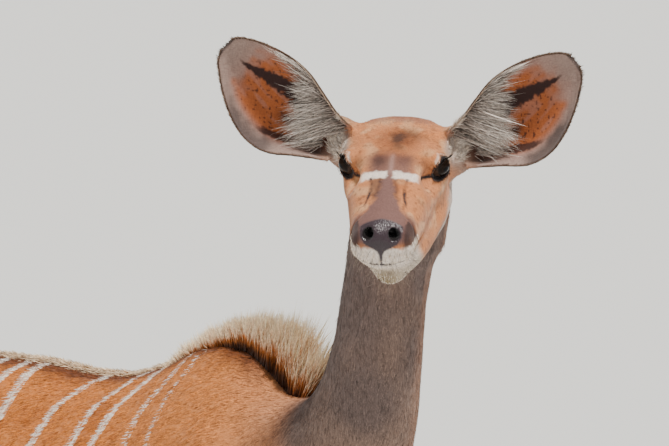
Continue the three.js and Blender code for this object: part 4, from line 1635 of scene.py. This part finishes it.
def rim(name, side, material, random):
    """Short hair that stands out along the ear's edge, pale on the upper edge near the root."""
    count = RIM_HAIRS
    along = random.uniform(0.14, 1.0, count)
    edge = np.where(random.uniform(0, 1, count) < 0.6, 1.0, -1.0)
    at_edge = ear_middle(side, along, 0.985 * edge)
    inward = ear_middle(side, along, 0.93 * edge)
    _, axis, _, facing = ear_axes(side)
    outward = unit(at_edge - inward) * random.uniform(0.2, 0.9, (count, 1))
    way = unit(outward + axis * 0.9 + facing * random.normal(0, 0.3, (count, 1)))
    root = from_head_points(at_edge - way * 1.5)
    way = head_way(*way.T)
    normal = unit(np.cross(way, np.repeat([head_way(*axis)], count, 0)) + 1e-6)
    pale = ((edge > 0) * (along < 0.6))[:, None]
    fade = random.normal(1, 0.14, count)[:, None]
    tip = np.where(pale, srgb(222, 204, 184), srgb(150, 124, 106)) * fade
    length = random.uniform(4, 8, count) + 4 * pale[:, 0]
    stops = [(0, srgb(92, 74, 62) * fade), (1, tip)]
    locks(f"ear_rim_{name}", root, normal, way, length, np.full(count, 1.0), 0 * along, 0 * normal, stops,
          material, parts=2)


LASHES = [
    # upper (1) or lower (-1) lid, how many, how long
    (1, 150, 8.0),
    (-1, 60, 3.5),
]
LASH_COLOUR = srgb(24, 18, 16)


def face_hair(material):
    """Lashes, whiskers, and the tufts on the lips, over the eyes and before the ears."""
    random = np.random.default_rng(61)
    roots, ways, lengths = [], [], []
    for side in SIDES.values():
        for upper, count, long in LASHES:
            place = random.uniform(-0.85, 0.8, count)
            angle = np.radians(OPENING_MIDDLE + place * OPENING_HALF)
            height = lid_level(place) + upper * (OPENING["half_height"] * (1 - place ** 2) ** 0.5 + 0.6)
            radius = np.sqrt(np.maximum(LID_RADIUS ** 2 - height ** 2, 4)) + 0.3
            away = np.stack([radius * np.sin(angle), side * radius * np.cos(angle), height], -1)
            way = unit(away) + np.array([0.1, 0, 0.35 * upper]) + random.normal(0, 0.12, (count, 3))
            roots.append(away + np.array([0, side * EYE_HALF_SPACING, EYE_RISE]))
            ways.append(unit(way))
            lengths.append(long * random.uniform(0.6, 1.1, count))
    flu = np.concatenate(roots)
    way = head_way(*np.concatenate(ways).T)
    normal = unit(np.cross(way, np.array([0.3, 0.2, 0.9])))
    tint = np.repeat([LASH_COLOUR], len(flu), 0)
    curl = 0.35 * head_way(0.0, 0.0, 1.0) * np.sign(flu[:, 2:])
    locks("lashes", from_head_points(flu), normal, way, np.concatenate(lengths), np.full(len(flu), 0.7),
          np.zeros(len(flu)), curl, [(0, tint), (1, tint)], material)
    tufts(material, random)


def tufts(material, random):
    """Hair on the lips, whiskers, and pale tufts before the ears and over the eyes."""
    flu = np.stack(to_head(points), -1)
    forward, left, up = flu.T
    side = np.abs(left)
    mirrored = np.stack([forward, side, up], -1)
    share = head_share(points)
    lips = share * smoothstep(140, 165, forward) * smoothstep(-14, -26, up) * (pad_mask(flu) < 0.2)
    away, above = eye_opening(forward, side, up)
    near = eye_distance(forward, side, up) < 31
    brow = share * near * hill(away - 9.5, 2.0) * (above > 4) * (forward < 14)
    before_ear = spot(mirrored, (-48, 92, 22), (24, 13, 24))
    before_ear = before_ear + 0.7 * spot(mirrored, (-52, 94, -2), (24, 13, 20))
    base = share * smoothstep(0.2, 0.5, before_ear)
    cream, white = srgb(206, 190, 170), srgb(246, 238, 226)
    for name, weight, count, long, width, lift, colours in (
        ("lip_hair", lips, 2600, 8, 1.0, 0.35, (cream, white)),
        ("whiskers", lips, 150, 26, 0.5, 0.9, (srgb(60, 46, 40), srgb(190, 174, 158))),
        ("ear_base_hair", base, 3600, 17, 1.0, 0.30, (srgb(196, 178, 160), srgb(246, 240, 232))),
        ("brow_hair", brow, 420, 6, 1.0, 0.2, (srgb(190, 160, 130), white)),
    ):
        lifts = (0.4 * lift, 1.4 * lift)
        grown(name, weight, count, long, width, lifts, 0.35, -0.3, colours, 0, random, material)


TAIL_HAIRS = 9000


def tail_hair(material):
    """Brown hair over the tail, white below, ending in a black tuft."""
    random = np.random.default_rng(71)
    count = TAIL_HAIRS
    place = random.uniform(0.15, 1.0, count) ** 0.8
    core = np.array(TAIL_CORE, float)
    spread = np.linspace(0, 1, len(core))
    middle = np.stack([np.interp(place, spread, core[:, k]) for k in range(3)], -1) + TABLE_SHIFT
    radius = np.interp(place, spread, core[:, 3])
    angle = random.uniform(0, 2 * math.pi, count)
    out = np.stack([np.cos(angle), np.sin(angle), 0 * angle], -1)
    root = middle + out * (radius - 1.0)[:, None]
    way = unit(out * 0.12 + np.array([0, 0.02, -1.0]) + random.normal(0, 0.05, (count, 3)))
    length = (26 + 46 * smoothstep(0.35, 1.0, place)) * random.uniform(0.6, 1.0, count)
    fade = random.normal(1, 0.12, count)[:, None]
    under = (out[:, 1] * 0.8 < 0.1)[:, None]
    start = np.where(under, srgb(238, 230, 218), srgb(186, 132, 88))
    end = np.where(under, srgb(244, 238, 228), srgb(150, 100, 66))
    end = np.where((place > 0.72)[:, None], srgb(40, 28, 24), end)
    lift = random.uniform(0, 0.1, count)
    locks("tail_hair", root, out, way, length, np.full(count, 2.0), lift, -0.06 * out,
          [(0, start * fade), (1, end * fade)], material)


# Eyes and hooves

IRIS_HALF_ANGLE = 38.0
CORNEA_RISE = 1.3


def eyeball(name, side, material, rows=48, columns=64):
    """A ball with a cornea that bulges from it, looking out to the side and forward."""
    gaze = unit(np.array([0.50, side * 0.86, 0.02]))
    level = unit(np.cross([0.0, 0.0, 1.0], gaze))
    rise = np.cross(gaze, level)
    polar = np.linspace(0.02, math.pi - 0.02, rows)[:, None] * np.ones(columns)
    around = np.ones(rows)[:, None] * np.linspace(0, 2 * math.pi, columns, endpoint=False)
    sideways, upwards = np.sin(polar) * np.cos(around), np.sin(polar) * np.sin(around)
    direction = np.cos(polar)[..., None] * gaze + sideways[..., None] * level + upwards[..., None] * rise
    degrees = np.degrees(polar)
    radius = EYE_RADIUS - 0.4 + CORNEA_RISE * smoothstep(IRIS_HALF_ANGLE + 4, 0, degrees)
    flu = (direction * radius[..., None]).reshape(-1, 3) + np.array([0, side * EYE_HALF_SPACING, EYE_RISE])
    flu = np.concatenate([flu, [flu[:columns].mean(0), flu[-columns:].mean(0)]])
    quads_round = ring_faces(rows, columns)
    k = np.arange(columns)
    following = (k + 1) % columns
    last = (rows - 1) * columns
    first_cap = np.stack([following, k, k * 0 + rows * columns], -1)
    last_cap = np.stack([last + k, last + following, k * 0 + rows * columns + 1], -1)
    triangles = np.concatenate([quads_round[:, [0, 1, 2]], quads_round[:, [0, 2, 3]], first_cap, last_cap])
    piece = mesh_object(name, from_head_points(flu), triangles if side > 0 else triangles[:, ::-1])
    iris = (degrees / IRIS_HALF_ANGLE).ravel()
    slot = np.hypot(np.cos(around), np.sin(around) * 2.0).ravel() * iris
    attribute(piece, "iris", np.concatenate([iris, [0, 9]]))
    attribute(piece, "pupil", np.concatenate([slot, [0, 9]]))
    piece.data.materials.append(material)
    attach(piece, "root")
    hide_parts(f"eye_{'left' if side > 0 else 'right'}")


def hoof(name, material, step=2.2):
    """The claw's own shape, with its facets smoothed away and growth rings round it."""
    co, triangles = node_mesh([name])
    grid = level_set(co, triangles, step, 4 * step)
    places, faces = grid.convertToQuads(isovalue=0.0)
    places, faces = places.astype(float), faces.astype(np.int64)
    places, faces = largest_part(places, faces)
    sole = places[:, 2] < 1.5
    places = relaxed(places, faces, 5, np.where(sole, 0.0, 1.0))
    out = vertex_normals(places, faces)
    rings = np.sin((places[:, 2] - 0.25 * places[:, 1]) * 0.9 + noise(places, 30, 80))
    places = places + out * (0.3 * rings * (places[:, 2] > 6))[:, None]
    places[:, 2] = np.where(sole, np.maximum(places[:, 2], 0.0), places[:, 2])
    low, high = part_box(name)
    places = np.clip(places, np.array(low) / MM - 1, np.array(high) / MM + 1)
    places[:, 2] = np.maximum(places[:, 2], 0.0)
    piece = mesh_object(f"{name}_horn", places, faces)
    piece.data.materials.append(material)
    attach(piece, "root")
    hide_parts(name)


points, quads = skin_mesh()
points = relaxed(points, quads, 4, np.ones(len(points)))
points = sculpted(points, quads)
normals = vertex_normals(points, quads)
skin_piece()
hair = hair_material()
short_coat(hair)
crest(hair)
ridge_hair(hair)
ear_hair(hair)
face_hair(hair)
tail_hair(hair)
glass = eye_material()
for word, sign in SIDES.items():
    eyeball(f"eyeball_{word}", sign, glass)
horn = horn_material()
for claw in [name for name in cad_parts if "claw" in name]:
    hoof(claw, horn)


# Camera, light and floor

def camera():
    azimuth, elevation = math.radians(CAMERA_AZIMUTH), math.radians(CAMERA_ELEVATION)
    back = np.array([
        math.sin(azimuth) * math.cos(elevation),
        -math.cos(azimuth) * math.cos(elevation),
        math.sin(elevation),
    ])
    right = np.array([math.cos(azimuth), math.sin(azimuth), 0.0])
    up = np.cross(back, right)
    ray = (
        right * (EYES_PIXEL[0] - IMAGE_SIZE[0] / 2) + up * (IMAGE_SIZE[1] / 2 - EYES_PIXEL[1])
    ) / FOCAL_PIXELS - back
    data = bpy.data.cameras.new("camera")
    data.sensor_width = 36.0
    data.lens = FOCAL_PIXELS / IMAGE_SIZE[0] * data.sensor_width
    data.clip_start, data.clip_end = 1.0, 600.0
    made = bpy.data.objects.new("camera", data)
    made.matrix_world = Matrix.Translation(Vector((EYES - ray * CAMERA_DISTANCE) * MM)) @ Matrix(
        [[right[k], up[k], back[k]] for k in range(3)]
    ).to_4x4()
    bpy.context.scene.collection.objects.link(made)
    bpy.context.scene.camera = made


def sun(azimuth, elevation):
    """A soft key light, from an azimuth and elevation in degrees."""
    a, e = math.radians(azimuth), math.radians(elevation)
    data = bpy.data.lights.new("key", "SUN")
    data.energy = 5.4
    data.angle = math.radians(7)
    data.color = (1.0, 0.965, 0.91)
    made = bpy.data.objects.new("key", data)
    made.rotation_mode = "QUATERNION"
    away = Vector((math.sin(a) * math.cos(e), -math.cos(a) * math.cos(e), math.sin(e)))
    made.rotation_quaternion = away.to_track_quat("Z", "Y")
    bpy.context.scene.collection.objects.link(made)


FLOOR_HALF_SIZE = 400.0


def surroundings():
    """An even pale sky, and a wide floor under her."""
    world = bpy.data.worlds.new("world")
    world.use_nodes = True
    sky = world.node_tree.nodes["Background"]
    sky.inputs["Color"].default_value = (0.90, 0.93, 0.97, 1)
    sky.inputs["Strength"].default_value = 0.46
    bpy.context.scene.world = world
    corners = np.array([[-1, -1, 0], [1, -1, 0], [1, 1, 0], [-1, 1, 0]]) * FLOOR_HALF_SIZE / MM
    floor = mesh_object("floor", corners, np.array([[0, 1, 2, 3]]))
    nodes = Nodes("floor")
    floor.data.materials.append(nodes.finish(Base_Color=(0.72, 0.72, 0.70, 1), Roughness=0.9))


camera()
surroundings()
sun(CAMERA_AZIMUTH + 26, 65)
